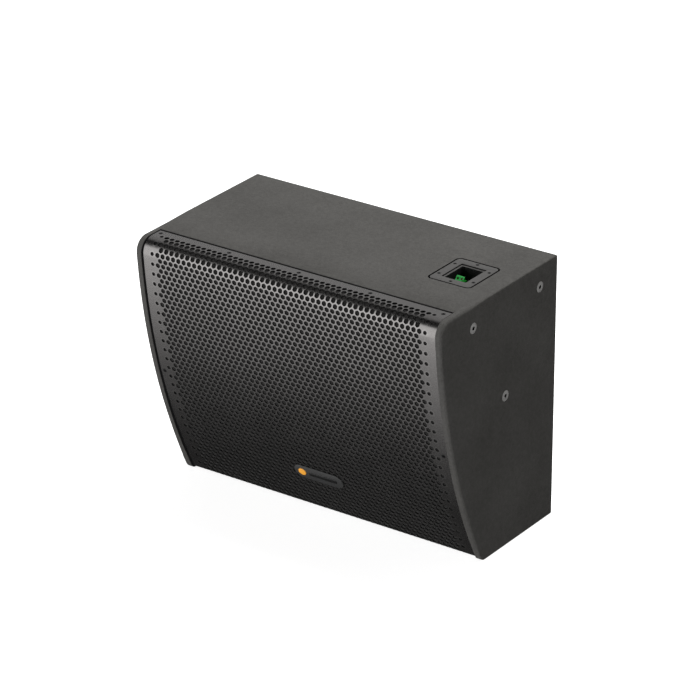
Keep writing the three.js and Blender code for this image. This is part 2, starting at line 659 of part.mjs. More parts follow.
// ---------------------------------------------------------------- crossover and damping
{
  const yb = YB - PLY;
  add("crossover_board", join0([
    box(90, 240, yb - 9.6, yb - 8, 50, 150),
    ...[[98, 58], [232, 58], [98, 142], [232, 142]].map(([x, z]) => box(x - 4, x + 4, yb - 8.2, yb - GAP, z - 4, z + 4)),
  ]), MAT.pcb);
  const coil = turned([[9, 0], [26, 0], [26, 18], [9, 18]], 16);
  add("crossover_inductor", coil, MAT.copper).position.set(130, yb - 9.9 - 18, 100);
  const cap = turned([[0, 0], [11, 0], [11, 46], [0, 46]], 12, false);
  cap.rotateZ(-Math.PI / 2);
  add("crossover_capacitor", cap, MAT.film).position.set(172, yb - 9.9 - 11.2, 118);
  add("damping_wadding", box(-284, 28, yb - 25, yb - GAP, 40, 440), MAT.wadding);
}
function join0(list) {
  return geometryOf(join(list));
}

export default root;
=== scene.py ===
# Looks for the installation loudspeaker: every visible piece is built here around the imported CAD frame.
import math

import bpy
import bmesh
import numpy as np
from mathutils import Matrix, Vector, geometry as mgeo


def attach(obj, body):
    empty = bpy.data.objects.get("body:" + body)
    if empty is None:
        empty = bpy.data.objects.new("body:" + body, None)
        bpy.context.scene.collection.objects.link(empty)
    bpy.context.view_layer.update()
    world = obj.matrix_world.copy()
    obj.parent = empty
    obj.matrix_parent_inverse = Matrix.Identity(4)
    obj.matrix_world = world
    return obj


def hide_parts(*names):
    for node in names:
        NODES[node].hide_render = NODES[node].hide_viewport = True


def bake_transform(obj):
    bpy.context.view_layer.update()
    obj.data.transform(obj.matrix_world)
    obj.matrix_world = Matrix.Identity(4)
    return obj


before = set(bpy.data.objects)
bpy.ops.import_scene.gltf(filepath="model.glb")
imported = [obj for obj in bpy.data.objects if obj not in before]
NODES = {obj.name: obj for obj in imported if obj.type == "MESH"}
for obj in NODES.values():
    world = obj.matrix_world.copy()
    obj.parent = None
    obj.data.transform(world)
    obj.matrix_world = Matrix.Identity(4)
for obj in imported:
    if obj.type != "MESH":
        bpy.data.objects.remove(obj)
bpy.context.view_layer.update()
scene = bpy.context.scene
scene.view_settings.view_transform = "Standard"
scene.view_settings.look = "None"
scene.view_settings.exposure = 0.0
scene.view_settings.gamma = 1.0

# ------------------------------------------------------------------ dimensions, millimetres
W, H, D = 616.4, 482.0, 347.9
YB = D / 2
CHEEK, PLY = 12.0, 15.0
ARC_R, ARC_Z, ARC_B = 1193.1, 552.6, 841.11
TOP_R, BOTTOM_R = 26.0, 16.0
SHEET, RECESS, TOP_RECESS, BOTTOM_RECESS = 1.2, 3.0, 0.4, 2.2
GRILLE_X, SEAM_B, SEAM_GAP, BOTTOM_FLANGE_B = 294.4, 294.0, 3.4, 178.0
GRILLE_L, GRILLE_R = 1.2 - GRILLE_X, 1.2 + GRILLE_X
TILT = math.radians(15.53)
BAFFLE_C = (-261.7, 238.1)
FLY = [(-253.0, 442.0), (-53.0, 442.0), (-153.0, 282.0)]
DISH_X, DISH_B = 223.0, -153.0
WOOFER, HORN, PORT = (-118.0, 0.0), (165.0, 60.0), (165.0, -120.0)


# ------------------------------------------------------------------ mesh helpers
def finish_mesh(bm, name, mat, body, replaces=(), angle=32.0, weld=1e-6):
    """A bmesh in metres becomes a piece that rides on a body."""
    if weld:
        bmesh.ops.remove_doubles(bm, verts=bm.verts, dist=weld)
    bmesh.ops.recalc_face_normals(bm, faces=bm.faces)
    lim = math.radians(angle)
    for f in bm.faces:
        f.smooth = True
    for e in bm.edges:
        e.smooth = len(e.link_faces) == 2 and e.calc_face_angle(0.0) < lim
    me = bpy.data.meshes.new(name)
    bm.to_mesh(me)
    bm.free()
    ob = bpy.data.objects.new(name, me)
    scene.collection.objects.link(ob)
    for m in (mat if isinstance(mat, (list, tuple)) else [mat]):
        me.materials.append(m)
    if body:
        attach(ob, body)
    if replaces:
        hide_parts(*([replaces] if isinstance(replaces, str) else replaces))
    return ob


def ring_loft(rings, cap_first=True, cap_last=True, closed_rings=True, loop=False):
    """Quads between rings of equal length, points in millimetres."""
    bm = bmesh.new()
    vs = [[bm.verts.new(Vector(p) * 0.001) for p in r] for r in rings]
    n = len(rings[0])
    m = n if closed_rings else n - 1
    pairs = list(zip(vs, vs[1:])) + ([(vs[-1], vs[0])] if loop else [])
    for a, b in pairs:
        for i in range(m):
            j = (i + 1) % n
            q = [a[i], a[j], b[j], b[i]]
            try:
                bm.faces.new(q)
            except ValueError:
                pass
    if not loop:
        if cap_first:
            bm.faces.new(list(reversed(vs[0])))
        if cap_last:
            bm.faces.new(vs[-1])
    return bm


def lathe(profile, segs=64, matrix=None, closed=False):
    """Profile of (radius, height) turned round local +Z. Points on the axis are shared."""
    bm = bmesh.new()
    rings = []
    for r, h in profile:
        if r < 1e-6:
            rings.append([bm.verts.new((0, 0, h * 0.001))])
        else:
            rings.append([
                bm.verts.new((r * 0.001 * math.cos(2 * math.pi * i / segs), r * 0.001 * math.sin(2 * math.pi * i / segs), h * 0.001))
                for i in range(segs)
            ])
    pairs = list(zip(rings, rings[1:])) + ([(rings[-1], rings[0])] if closed else [])
    for a, b in pairs:
        for i in range(segs):
            j = (i + 1) % segs
            q = []
            for v in (a[i % len(a)], a[j % len(a)], b[j % len(b)], b[i % len(b)]):
                if v not in q:
                    q.append(v)
            if len(q) >= 3:
                bm.faces.new(q)
    if matrix is not None:
        bmesh.ops.transform(bm, matrix=matrix, verts=bm.verts)
    return bm


def rrect(a, b, r, z, n=8, cx=0.0, cy=0.0):
    """A rounded rectangle ring, half sizes a and b."""
    pts = []
    for k, (sx, sy) in enumerate([(1, 1), (-1, 1), (-1, -1), (1, -1)]):
        for i in range(n + 1):
            t = math.pi / 2 * (k + i / n)
            pts.append((cx + sx * (a - r) + r * math.cos(t), cy + sy * (b - r) + r * math.sin(t), z))
    return pts


def boolean(ob, cutter, op="DIFFERENCE"):
    m = ob.modifiers.new("b", "BOOLEAN")
    m.operation = op
    m.solver = "EXACT"
    m.object = cutter
    apply_modifiers(ob)
    bpy.data.objects.remove(cutter)


def apply_modifiers(ob):
    dg = bpy.context.evaluated_depsgraph_get()
    dg.update()
    me = bpy.data.meshes.new_from_object(ob.evaluated_get(dg))
    old = ob.data
    ob.modifiers.clear()
    ob.data = me
    me.name = ob.name
    if not old.users:
        bpy.data.meshes.remove(old)


def scratch(bm, name="cutter"):
    bmesh.ops.recalc_face_normals(bm, faces=bm.faces)
    me = bpy.data.meshes.new(name)
    bm.to_mesh(me)
    bm.free()
    ob = bpy.data.objects.new(name, me)
    scene.collection.objects.link(ob)
    return ob


def resmooth(ob, angle=32.0):
    bm = bmesh.new()
    bm.from_mesh(ob.data)
    bmesh.ops.remove_doubles(bm, verts=bm.verts, dist=2e-6)
    bmesh.ops.recalc_face_normals(bm, faces=bm.faces)
    lim = math.radians(angle)
    for f in bm.faces:
        f.smooth = True
    for e in bm.edges:
        e.smooth = len(e.link_faces) == 2 and e.calc_face_angle(0.0) < lim
    bm.to_mesh(ob.data)
    bm.free()


# ------------------------------------------------------------------ outlines
def arc(cx, cz, r, a0, a1, n):
    return [(cx + r * math.cos(a0 + (a1 - a0) * i / n), cz + r * math.sin(a0 + (a1 - a0) * i / n)) for i in range(n + 1)]


def front_params(t, top_z, bot_z, r_top, r_bot):
    R = ARC_R - t
    ct = (ARC_B - math.sqrt((R - r_top) ** 2 - (ARC_Z - (top_z - r_top)) ** 2), top_z - r_top)
    a1 = math.atan2(ct[1] - ARC_Z, ct[0] - ARC_B) % (2 * math.pi)
    cb = (ARC_B - math.sqrt((R - r_bot) ** 2 - (ARC_Z - (bot_z + r_bot)) ** 2), bot_z + r_bot)
    b1 = math.atan2(cb[1] - ARC_Z, cb[0] - ARC_B) % (2 * math.pi)
    return R, ct, a1, cb, b1


def front_curve(t, top_z, bot_z, r_top, r_bot, nt=14, na=72, nb=10):
    R, ct, a1, cb, b1 = front_params(t, top_z, bot_z, r_top, r_bot)
    return (
        arc(ct[0], ct[1], r_top, math.pi / 2, a1, nt)
        + arc(ARC_B, ARC_Z, R, a1, b1, na)[1:]
        + arc(cb[0], cb[1], r_bot, b1, 1.5 * math.pi, nb)[1:]
    )


def front_at(z, t=0.0):
    return ARC_B - math.sqrt((ARC_R - t) ** 2 - (ARC_Z - z) ** 2)


# ------------------------------------------------------------------ materials
def new_mat(name):
    m = bpy.data.materials.new(name)
    m.use_nodes = True
    nt = m.node_tree
    b = nt.nodes["Principled BSDF"]
    return m, nt, b


def n_(nt, kind, **props):
    n = nt.nodes.new(kind)
    for k, v in props.items():
        setattr(n, k, v)
    return n


def coords(nt, scale=(1, 1, 1)):
    tc = n_(nt, "ShaderNodeTexCoord")
    if scale == (1, 1, 1):
        return tc.outputs["Object"]
    mp = n_(nt, "ShaderNodeMapping")
    mp.inputs["Scale"].default_value = scale
    nt.links.new(tc.outputs["Object"], mp.inputs["Vector"])
    return mp.outputs["Vector"]


def noise(nt, co, scale, detail=4.0, rough=0.55, distort=0.0):
    n = n_(nt, "ShaderNodeTexNoise")
    n.inputs["Scale"].default_value = scale
    n.inputs["Detail"].default_value = detail
    n.inputs["Roughness"].default_value = rough
    n.inputs["Distortion"].default_value = distort
    nt.links.new(co, n.inputs["Vector"])
    return n.outputs["Fac"]


def ramp(nt, fac, stops):
    r = n_(nt, "ShaderNodeValToRGB")
    e = r.color_ramp.elements
    while len(e) < len(stops):
        e.new(0.5)
    for el, (p, c) in zip(e, stops):
        el.position = p
        el.color = (*c, 1.0) if len(c) == 3 else c
    nt.links.new(fac, r.inputs["Fac"])
    return r.outputs["Color"]


def map_range(nt, fac, lo, hi, a, b):
    m = n_(nt, "ShaderNodeMapRange")
    m.inputs["From Min"].default_value = lo
    m.inputs["From Max"].default_value = hi
    m.inputs["To Min"].default_value = a
    m.inputs["To Max"].default_value = b
    nt.links.new(fac, m.inputs["Value"])
    return m.outputs["Result"]


def math_(nt, op, a, b):
    m = n_(nt, "ShaderNodeMath", operation=op)
    for i, v in enumerate((a, b)):
        if isinstance(v, (int, float)):
            m.inputs[i].default_value = v
        else:
            nt.links.new(v, m.inputs[i])
    return m.outputs["Value"]


def bump(nt, bsdf, height, strength, distance, prev=None):
    b = n_(nt, "ShaderNodeBump")
    b.inputs["Strength"].default_value = strength
    b.inputs["Distance"].default_value = distance
    nt.links.new(height, b.inputs["Height"])
    if prev is not None:
        nt.links.new(prev, b.inputs["Normal"])
    nt.links.new(b.outputs["Normal"], bsdf.inputs["Normal"])
    return b.outputs["Normal"]


def g(v):
    """A grey or colour given as sRGB 0-255, as linear."""
    if isinstance(v, (int, float)):
        v = (v, v, v)
    return tuple(((c / 255) / 12.92 if c / 255 <= 0.04045 else ((c / 255 + 0.055) / 1.055) ** 2.4) for c in v)


def mat_textured(name, lo, hi, rough, grain=900.0, strength=0.35, dist=0.00025, metallic=0.0, wear=0.0, spec=0.5, cloud=6.0):
    """Sprayed structure paint, powder coat or moulded plastic: fine grain, faint clouding, roughness variation."""
    m, nt, b = new_mat(name)
    co = coords(nt)
    fine = noise(nt, co, grain, 3.0, 0.6)
    mid = noise(nt, co, grain * 0.28, 2.0, 0.5)
    big = noise(nt, co, cloud, 4.0, 0.6)
    mixv = math_(nt, "ADD", math_(nt, "MULTIPLY", fine, 0.55), math_(nt, "ADD", math_(nt, "MULTIPLY", mid, 0.2), math_(nt, "MULTIPLY", big, 0.25)))
    col = ramp(nt, mixv, [(0.36, g(lo)), (0.64, g(hi))])
    nt.links.new(col, b.inputs["Base Color"])
    rr = map_range(nt, math_(nt, "ADD", math_(nt, "MULTIPLY", fine, 0.5), math_(nt, "MULTIPLY", big, 0.5)), 0.35, 0.65, rough - 0.05, rough + 0.06)
    nt.links.new(rr, b.inputs["Roughness"])
    b.inputs["Metallic"].default_value = metallic
    b.inputs["Specular IOR Level"].default_value = spec
    h = math_(nt, "ADD", math_(nt, "MULTIPLY", fine, 0.6), math_(nt, "MULTIPLY", mid, 0.9))
    bump(nt, b, h, strength, dist)
    return m


def mat_metal(name, colour, rough, scratch_scale=(40, 40, 900), strength=0.08, metallic=1.0, dirt=0.25):
    m, nt, b = new_mat(name)
    co = coords(nt, scratch_scale)
    s = noise(nt, co, 6.0, 4.0, 0.6)
    blot = noise(nt, coords(nt), 240.0, 3.0, 0.6)
    base = g(colour)
    dark = tuple(c * (1 - dirt) for c in base)
    col = ramp(nt, blot, [(0.35, dark), (0.62, base)])
    nt.links.new(col, b.inputs["Base Color"])
    b.inputs["Metallic"].default_value = metallic
    nt.links.new(map_range(nt, s, 0.3, 0.7, rough - 0.06, rough + 0.1), b.inputs["Roughness"])
    bump(nt, b, s, strength, 0.0002)
    return m


def mat_ply(name):
    """Birch plywood: rotary-cut face grain and layered edges."""
    m, nt, b = new_mat(name)
    co = coords(nt, (1.5, 10, 10))
    grain = noise(nt, co, 9.0, 6.0, 0.65, 0.7)
    fine = noise(nt, coords(nt, (12, 160, 160)), 3.0, 3.0, 0.6)
    v = math_(nt, "ADD", math_(nt, "MULTIPLY", grain, 0.75), math_(nt, "MULTIPLY", fine, 0.25))
    col = ramp(nt, v, [(0.3, (0.30, 0.17, 0.08)), (0.5, (0.47, 0.30, 0.16)), (0.7, (0.58, 0.41, 0.24))])
    nt.links.new(col, b.inputs["Base Color"])
    nt.links.new(map_range(nt, fine, 0.3, 0.7, 0.55, 0.75), b.inputs["Roughness"])
    bump(nt, b, v, 0.15, 0.0004)
    return m


def mat_foam(name, lo, hi, scale=520.0, strength=0.9):
    m, nt, b = new_mat(name)
    co = coords(nt)
    vor = n_(nt, "ShaderNodeTexVoronoi")
    vor.inputs["Scale"].default_value = scale
    nt.links.new(co, vor.inputs["Vector"])
    fine = noise(nt, co, scale * 1.7, 3.0, 0.6)
    v = math_(nt, "ADD", math_(nt, "MULTIPLY", vor.outputs["Distance"], 0.7), math_(nt, "MULTIPLY", fine, 0.4))
    col = ramp(nt, v, [(0.2, g(lo)), (0.75, g(hi))])
    nt.links.new(col, b.inputs["Base Color"])
    b.inputs["Roughness"].default_value = 0.95
    b.inputs["Specular IOR Level"].default_value = 0.2
    b.inputs["Sheen Weight"].default_value = 0.15
    bump(nt, b, v, strength, 0.0006)
    return m


def mat_fibres(name, lo, hi, scale=60.0, stretch=(1, 1, 1), strength=0.5, rough=0.9, sheen=0.2):
    m, nt, b = new_mat(name)
    co = coords(nt, stretch)
    a = noise(nt, co, scale, 8.0, 0.7, 1.2)
    f = noise(nt, co, scale * 9, 3.0, 0.6)
    v = math_(nt, "ADD", math_(nt, "MULTIPLY", a, 0.65), math_(nt, "MULTIPLY", f, 0.35))
    nt.links.new(ramp(nt, v, [(0.3, g(lo)), (0.7, g(hi))]), b.inputs["Base Color"])
    nt.links.new(map_range(nt, f, 0.3, 0.7, rough - 0.08, min(1.0, rough + 0.06)), b.inputs["Roughness"])
    b.inputs["Sheen Weight"].default_value = sheen
    bump(nt, b, v, strength, 0.0006)
    return m


M = {}
M["paint"] = mat_textured("cabinet_paint", (46, 45, 43), (75, 74, 72), 0.6, grain=620, strength=0.5, dist=0.0003, spec=0.3)
M["grille"] = mat_textured("grille_powder_coat", (112, 110, 109), (127, 125, 124), 0.25, grain=900, strength=0.12, dist=0.0001, metallic=1.0)
# painted shade: near-black hole walls stand in for the shade inside the punched holes
M["grille_cut"] = mat_textured("grille_hole_walls_painted_shade", 10, 16, 0.6, grain=900, strength=0.2, dist=0.0001, spec=0.3)
# painted highlight: the punched field's webs get a lighter copy of the grille coat, standing in for highlights on the
# punched hole edges
M["grille_web"] = mat_textured("grille_web_painted_highlight", (118, 116, 115), (136, 134, 133), 0.26, grain=900, strength=0.12, dist=0.0001, metallic=1.0)
M["foam"] = mat_foam("acoustic_foam", (12, 11, 11), (27, 26, 25))
M["badge_bar"] = mat_textured("badge_bar_gloss", 16, 22, 0.25, grain=1800, strength=0.1, dist=0.0001)
M["badge"] = mat_textured("badge_plastic", 42, 50, 0.4, grain=1800, strength=0.2, dist=0.0001)
M["amber"] = mat_textured("badge_amber", (222, 148, 46), (240, 172, 64), 0.4, grain=1800, strength=0.15, dist=0.0001)
M["screw"] = mat_metal("black_screw", 46, 0.42, strength=0.1, dirt=0.3)
M["dish"] = mat_textured("dish_moulding", (56, 55, 54), (70, 69, 68), 0.5, grain=900, strength=0.35, dist=0.0002, spec=0.4)
# painted shade: near-black copy of the dish moulding for its recesses
M["pit"] = mat_textured("dish_pit_painted_shade", 12, 20, 0.75, grain=1300, strength=0.35, dist=0.0002, spec=0.2)
# black paint on the baffle and battens; the same near-black material is painted shade on the cheeks' inner faces, in
# the seam groove and its chamfer, under the grille flange and in the dish pocket
M["black"] = mat_textured("black_paint_and_painted_shade", 14, 24, 0.75, grain=700, strength=0.4, dist=0.0003, spec=0.25)
M["green"] = mat_textured("terminal_green", (38, 128, 60), (58, 150, 76), 0.38, grain=2200, strength=0.12, dist=0.00008)
# painted shade: a darker copy of the terminal green for the plug's side facing +X
M["green_dark"] = mat_textured("terminal_green_side_painted_shade", (0, 62, 6), (2, 74, 12), 0.6, grain=2200, strength=0.12, dist=0.00008, spec=0.12)
M["zinc"] = mat_metal("zinc_plate", 178, 0.32)
M["clamp"] = mat_metal("clamp_metal", (196, 150, 132), 0.38)
M["fly"] = mat_metal("fixing_screw", (166, 165, 163), 0.5, scratch_scale=(300, 300, 300), metallic=0.35, dirt=0.2)
M["socket"] = mat_textured("screw_socket", 6, 10, 0.8, grain=1500, strength=0.2, dist=0.0001, spec=0.1)
M["plate"] = mat_metal("plate_steel", 140, 0.45, scratch_scale=(60, 900, 60))
M["cast"] = mat_textured("cast_aluminium", 52, 66, 0.5, grain=700, strength=0.5, dist=0.0003, metallic=0.6)
M["magnet"] = mat_textured("magnet", 48, 58, 0.55, grain=600, strength=0.3, dist=0.0002, metallic=0.4)
M["cone"] = mat_fibres("paper_cone", 26, 44, scale=70.0, strength=0.45)
M["rubber"] = mat_textured("surround_rubber", 24, 34, 0.7, grain=1500, strength=0.3, dist=0.0002)
M["spider"] = mat_fibres("spider_cloth", (150, 112, 52), (205, 164, 92), scale=300.0, strength=0.6)
M["coil"] = mat_metal("voice_coil", (190, 112, 66), 0.3, scratch_scale=(60, 60, 2400), strength=0.3)
M["horn"] = mat_textured("horn_moulding", 34, 42, 0.5, grain=1300, strength=0.3, dist=0.0002)
M["diaphragm"] = mat_metal("diaphragm_foil", 205, 0.25)
M["pcb"] = mat_textured("circuit_board", (20, 74, 36), (34, 96, 48), 0.35, grain=500, strength=0.15, dist=0.0001)
M["copper"] = mat_metal("copper_winding", (196, 116, 66), 0.28, scratch_scale=(50, 1800, 50), strength=0.35)
M["film"] = mat_textured("film_capacitor", (196, 152, 46), (214, 172, 66), 0.3, grain=300, strength=0.1, dist=0.0001)
M["wadding"] = mat_fibres("wadding_fibres", 190, 236, scale=38.0, stretch=(1, 3, 1), strength=0.9, rough=0.92, sheen=0.4)
M["ply"] = mat_ply("birch_plywood")

# ------------------------------------------------------------------ cabinet
EDGE = 4.0


def offset_outline(pts, normals, amounts):
    return [(p[0] - n[0] * a, p[1] - n[1] * a) for p, n, a in zip(pts, normals, amounts)]


def outline_normals(pts):
    """Outward normals of a closed outline that runs from the back bottom up the back and over the front."""
    n = len(pts)
    out = []
    for i in range(n):
        ax, az = pts[(i - 1) % n]
        bx, bz = pts[(i + 1) % n]
        tx, tz = bx - ax, bz - az
        l = math.hypot(tx, tz) or 1.0
        out.append((tz / l, -tx / l))
    return out


def cheek_outline():
    r = 4.2
    pts = arc(-2, 2, 2, 1.5 * math.pi, 2 * math.pi, 6)  # back bottom corner
    pts += [(0.0, z) for z in np.linspace(14, H - r - 12, 16)]
    pts += arc(-r, H - r, r, 0, math.pi / 2, 6)
    fc = front_curve(0, H, 0, TOP_R, BOTTOM_R, 22, 96, 14)
    pts += [(b, H) for b in np.linspace(-r - 12, fc[0][0] + 12, 12)]
    pts += fc
    pts += [(b, 0.0) for b in np.linspace(fc[-1][0] + 10, -r - 10, 10)]
    return pts


def circle_cutter(side, bz, profile):
    # profile (radius, depth below the outer face), axis along X
    b, z = bz
    bm = lathe([(r, h) for r, h in profile], 48)
    rot = Matrix.Rotation(math.radians(90 * side), 4, "Y")
    bmesh.ops.transform(bm, matrix=Matrix.Translation(Vector((side * W / 2, b + YB, z)) * 0.001) @ rot, verts=bm.verts)
    return scratch(bm)


def make_cheek(name, side, node):
    pts = cheek_outline()
    # outline_normals wants a path that keeps the solid on one side
    nr = outline_normals(pts)
    cx, cz = -150.0, 240.0
    flips = sum((p[0] - cx) * q[0] + (p[1] - cz) * q[1] < 0 for p, q in zip(pts, nr))
    if flips > len(pts) / 2:
        nr = [(-a, -b) for a, b in nr]
    rad = []
    for (b, z) in pts:
        front = min(1.0, max(0.0, (-b - 205.0) / 60.0)) if z > 30 else 0.0
        low = min(1.0, max(0.0, (24.0 - z) / 12.0))
        rad.append((2.3 + 3.1 * front) * (1 - low) + 2.4 * low)
    rings = []
    k = 8
    X = side * W / 2
    for i in range(k + 1):
        phi = math.pi / 2 * i / k
        off = [r * (1 - math.sin(phi)) for r in rad]
        ring = offset_outline(pts, nr, off)
        rings.append([(X - side * r * (1 - math.cos(phi)), b + YB, z) for (b, z), r in zip(ring, rad)])
    # inner lip edge, softened only where the cheek stands free of the panels (the front)
    lip = [0.7 if (b < -296 or (z < 40 and b < -190)) else 0.0 for b, z in pts]
    rings.append([(X - side * (CHEEK - l), b + YB, z) for (b, z), l in zip(pts, lip)])
    ring = offset_outline(pts, nr, lip)
    rings.append([(X - side * CHEEK, b + YB, z) for b, z in ring])
    bm = ring_loft(rings)
    ob = finish_mesh(bm, name, M["paint"], None, angle=28, weld=1e-6)
    for bz in FLY:
        boolean(ob, circle_cutter(side, bz, [(0, 5), (11.2, 5), (10.15, 0.0), (10.05, -0.9), (5.4, -5.6), (5.4, -40), (0, -40)]))
    resmooth(ob, 28)
    # painted shade: the cheek's inner face is near-black so the gap beside the grille reads as shade
    ob.data.materials.append(M["black"])
    for f in ob.data.polygons:
        if abs(f.normal.x) > 0.9 and f.normal.x * side < 0 and abs(f.center.x) * 1000 < W / 2 - CHEEK + 0.05:
            f.material_index = 1
    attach(ob, "cabinet")
    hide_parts(node)
    return ob


make_cheek("cheek_left_shell", -1, "left_cheek")
make_cheek("cheek_right_shell", 1, "right_cheek")

IN_X = W / 2 - CHEEK


def slab_loft(outline, x0, x1):
    return ring_loft([[(x, b + YB, z) for b, z in outline] for x in (x0, x1)])


# top panel, with the pocket for the dish
under = H - TOP_RECESS - SHEET - 0.4
outline = (
    arc(-4.2, H - 4.2, 4.2, 0, math.pi / 2, 6)
    + [(-60, H), (-120, H), (-180, H), (-240, H)]
    + [(-SEAM_B + 1.3, H), (-SEAM_B + 1.1, H - 0.1), (-SEAM_B, H - 1.2)]
    + [(-SEAM_B, H - 9), (-SEAM_B - SEAM_GAP - 1.2, H - 9), (-SEAM_B - SEAM_GAP - 1.2, under), (-311.6, under), (-312.6, under - 6), (-333, under - 11), (-333, H - PLY), (0, H - PLY)]
)
top = finish_mesh(slab_loft(outline, -IN_X, IN_X), "top_panel_shell", M["paint"], None)
for a, b, r, z0, z1 in ((42.9, 49.4, 9.9, H - 3.1, H + 9), (27.6, 34.0, 4, H - PLY - 9, H + 9)):
    boolean(top, scratch(ring_loft([rrect(a, b, r, z, 10, DISH_X, DISH_B + YB) for z in (z0, z1)])))
# clearance trench round the plate's rim
trench = [rrect(42.9, 49.4, 9.9, H + 5, 10, DISH_X, DISH_B + YB), rrect(42.9, 49.4, 9.9, H - 8.5, 10, DISH_X, DISH_B + YB), rrect(38.9, 45.4, 5.9, H - 8.5, 10, DISH_X, DISH_B + YB), rrect(38.9, 45.4, 5.9, H + 5, 10, DISH_X, DISH_B + YB)]
boolean(top, scratch(ring_loft(trench, loop=True)))
# softened rim of the pocket
boolean(top, scratch(ring_loft([rrect(42.9 + e, 49.4 + e, 9.9 + e, z, 10, DISH_X, DISH_B + YB) for e, z in ((0, H - 0.25), (0.35, H + 0.1))])))
resmooth(top, 28)
# painted shade: the seam groove with its chamfered edge, the cavity under the grille flange and the dish pocket's walls
# and trench are near-black
top.data.materials.append(M["black"])
for f in top.data.polygons:
    c = f.center * 1000
    in_pocket = abs(c.x - DISH_X) < 43.1 and abs(c.y - DISH_B - YB) < 49.6
    if c.z < H - 0.35 and (c.y - YB < -SEAM_B + 0.7 or in_pocket):
        f.material_index = 1
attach(top, "cabinet")
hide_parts("top_panel")

over = BOTTOM_RECESS + SHEET + 0.6
outline = (
    [(0, PLY), (-199, PLY), (-199, over + 4), (-195, over), (-(BOTTOM_FLANGE_B - 2.4), over), (-(BOTTOM_FLANGE_B - 2.4), 0.4), (-(BOTTOM_FLANGE_B - 2.8), 0.0), (-120, 0), (-60, 0)]
    + arc(-2, 2, 2, 1.5 * math.pi, 2 * math.pi, 6)
)
finish_mesh(slab_loft(outline, -IN_X, IN_X), "bottom_panel_shell", M["paint"], "cabinet", "bottom_panel")

bm = ring_loft([[(x, YB - 0.0, PLY), (x, YB - 0.0, H - PLY), (x, YB - PLY, H - PLY), (x, YB - PLY, PLY)] for x in np.linspace(-IN_X, IN_X, 9)])
finish_mesh(bm, "back_panel_shell", M["paint"], "cabinet", "back_panel")


# ------------------------------------------------------------------ grille: one folded sheet, punched with staggered hexagons
P = 11.0
ROW = P * math.sqrt(3) / 2
AF = 8.7


class Path:
    """Arc length along the grille's outer face, from the rear edge of its top flange to the rear edge of its bottom flange."""

    def __init__(self):
        zt, zb, rt, rb = H - TOP_RECESS, BOTTOM_RECESS, TOP_R - 0.8, BOTTOM_R - 2
        R, ct, a1, cb, b1 = front_params(RECESS, zt, zb, rt, rb)
        self.parts = []
        s = 0.0
        b0 = -(SEAM_B + SEAM_GAP)
        L = b0 - ct[0]
        self.parts.append(("line", s, L, (b0, zt), (-1.0, 0.0), (0.0, 1.0)))
        s += L
        self.s_bend = s
        L = rt * (a1 - math.pi / 2)
        self.parts.append(("arc", s, L, ct, rt, math.pi / 2))
        s += L
        self.s_front = s
        L = R * (b1 - a1)
        self.parts.append(("arc", s, L, (ARC_B, ARC_Z), R, a1))
        s += L
        self.s_low = s
        L = rb * (1.5 * math.pi - b1)
        self.parts.append(("arc", s, L, cb, rb, b1))
        s += L
        self.s_flat = s
        L = -BOTTOM_FLANGE_B - cb[0]
        L = abs(L)
        self.parts.append(("line", s, L, (cb[0], zb), (1.0, 0.0), (0.0, -1.0)))
        self.length = s + L

    def at(self, s):
        for p in self.parts:
            if s <= p[1] + p[2] + 1e-9 or p is self.parts[-1]:
                t = s - p[1]
                if p[0] == "line":
                    return (p[3][0] + p[4][0] * t, p[3][1] + p[4][1] * t), p[5]
                a = p[5] + t / p[4]
                c, r = p[3], p[4]
                return (c[0] + r * math.cos(a), c[1] + r * math.sin(a)), (math.cos(a), math.sin(a))

    def s_of_front_z(self, z):
        R = ARC_R - RECESS
        a = math.pi + math.asin((ARC_Z - z) / R)
        p = self.parts[2]
        return p[1] + (a - p[5]) * p[4]


path = Path()
ROW0 = 317.75 - (SEAM_B + SEAM_GAP)
N_ROWS = 57


def hole_outline(cx, cy, small):
    """Twelve points, two by each corner of the pointy-topped hexagon."""
    pts = []
    if small:
        r = 3.55
        for i in range(6):
            a = math.radians(90 + 60 * i)
            for d in (-15, 15):
                pts.append((cx + r * math.cos(a + math.radians(d)), cy + r * math.sin(a + math.radians(d))))
        return pts
    rc = AF / math.sqrt(3)
    for i in range(6):
        a = math.radians(90 + 60 * i)
        c = (rc * math.cos(a), rc * math.sin(a))
        for s in (-1, 1):
            b = math.radians(90 + 60 * (i + s))
            d = (rc * math.cos(b), rc * math.sin(b))
            t = 0.14
            q = (c[0] + (d[0] - c[0]) * t, c[1] + (d[1] - c[1]) * t)
            k = 0.985
            pts.append((cx + q[0] * k, cy + q[1] * k))
    return pts


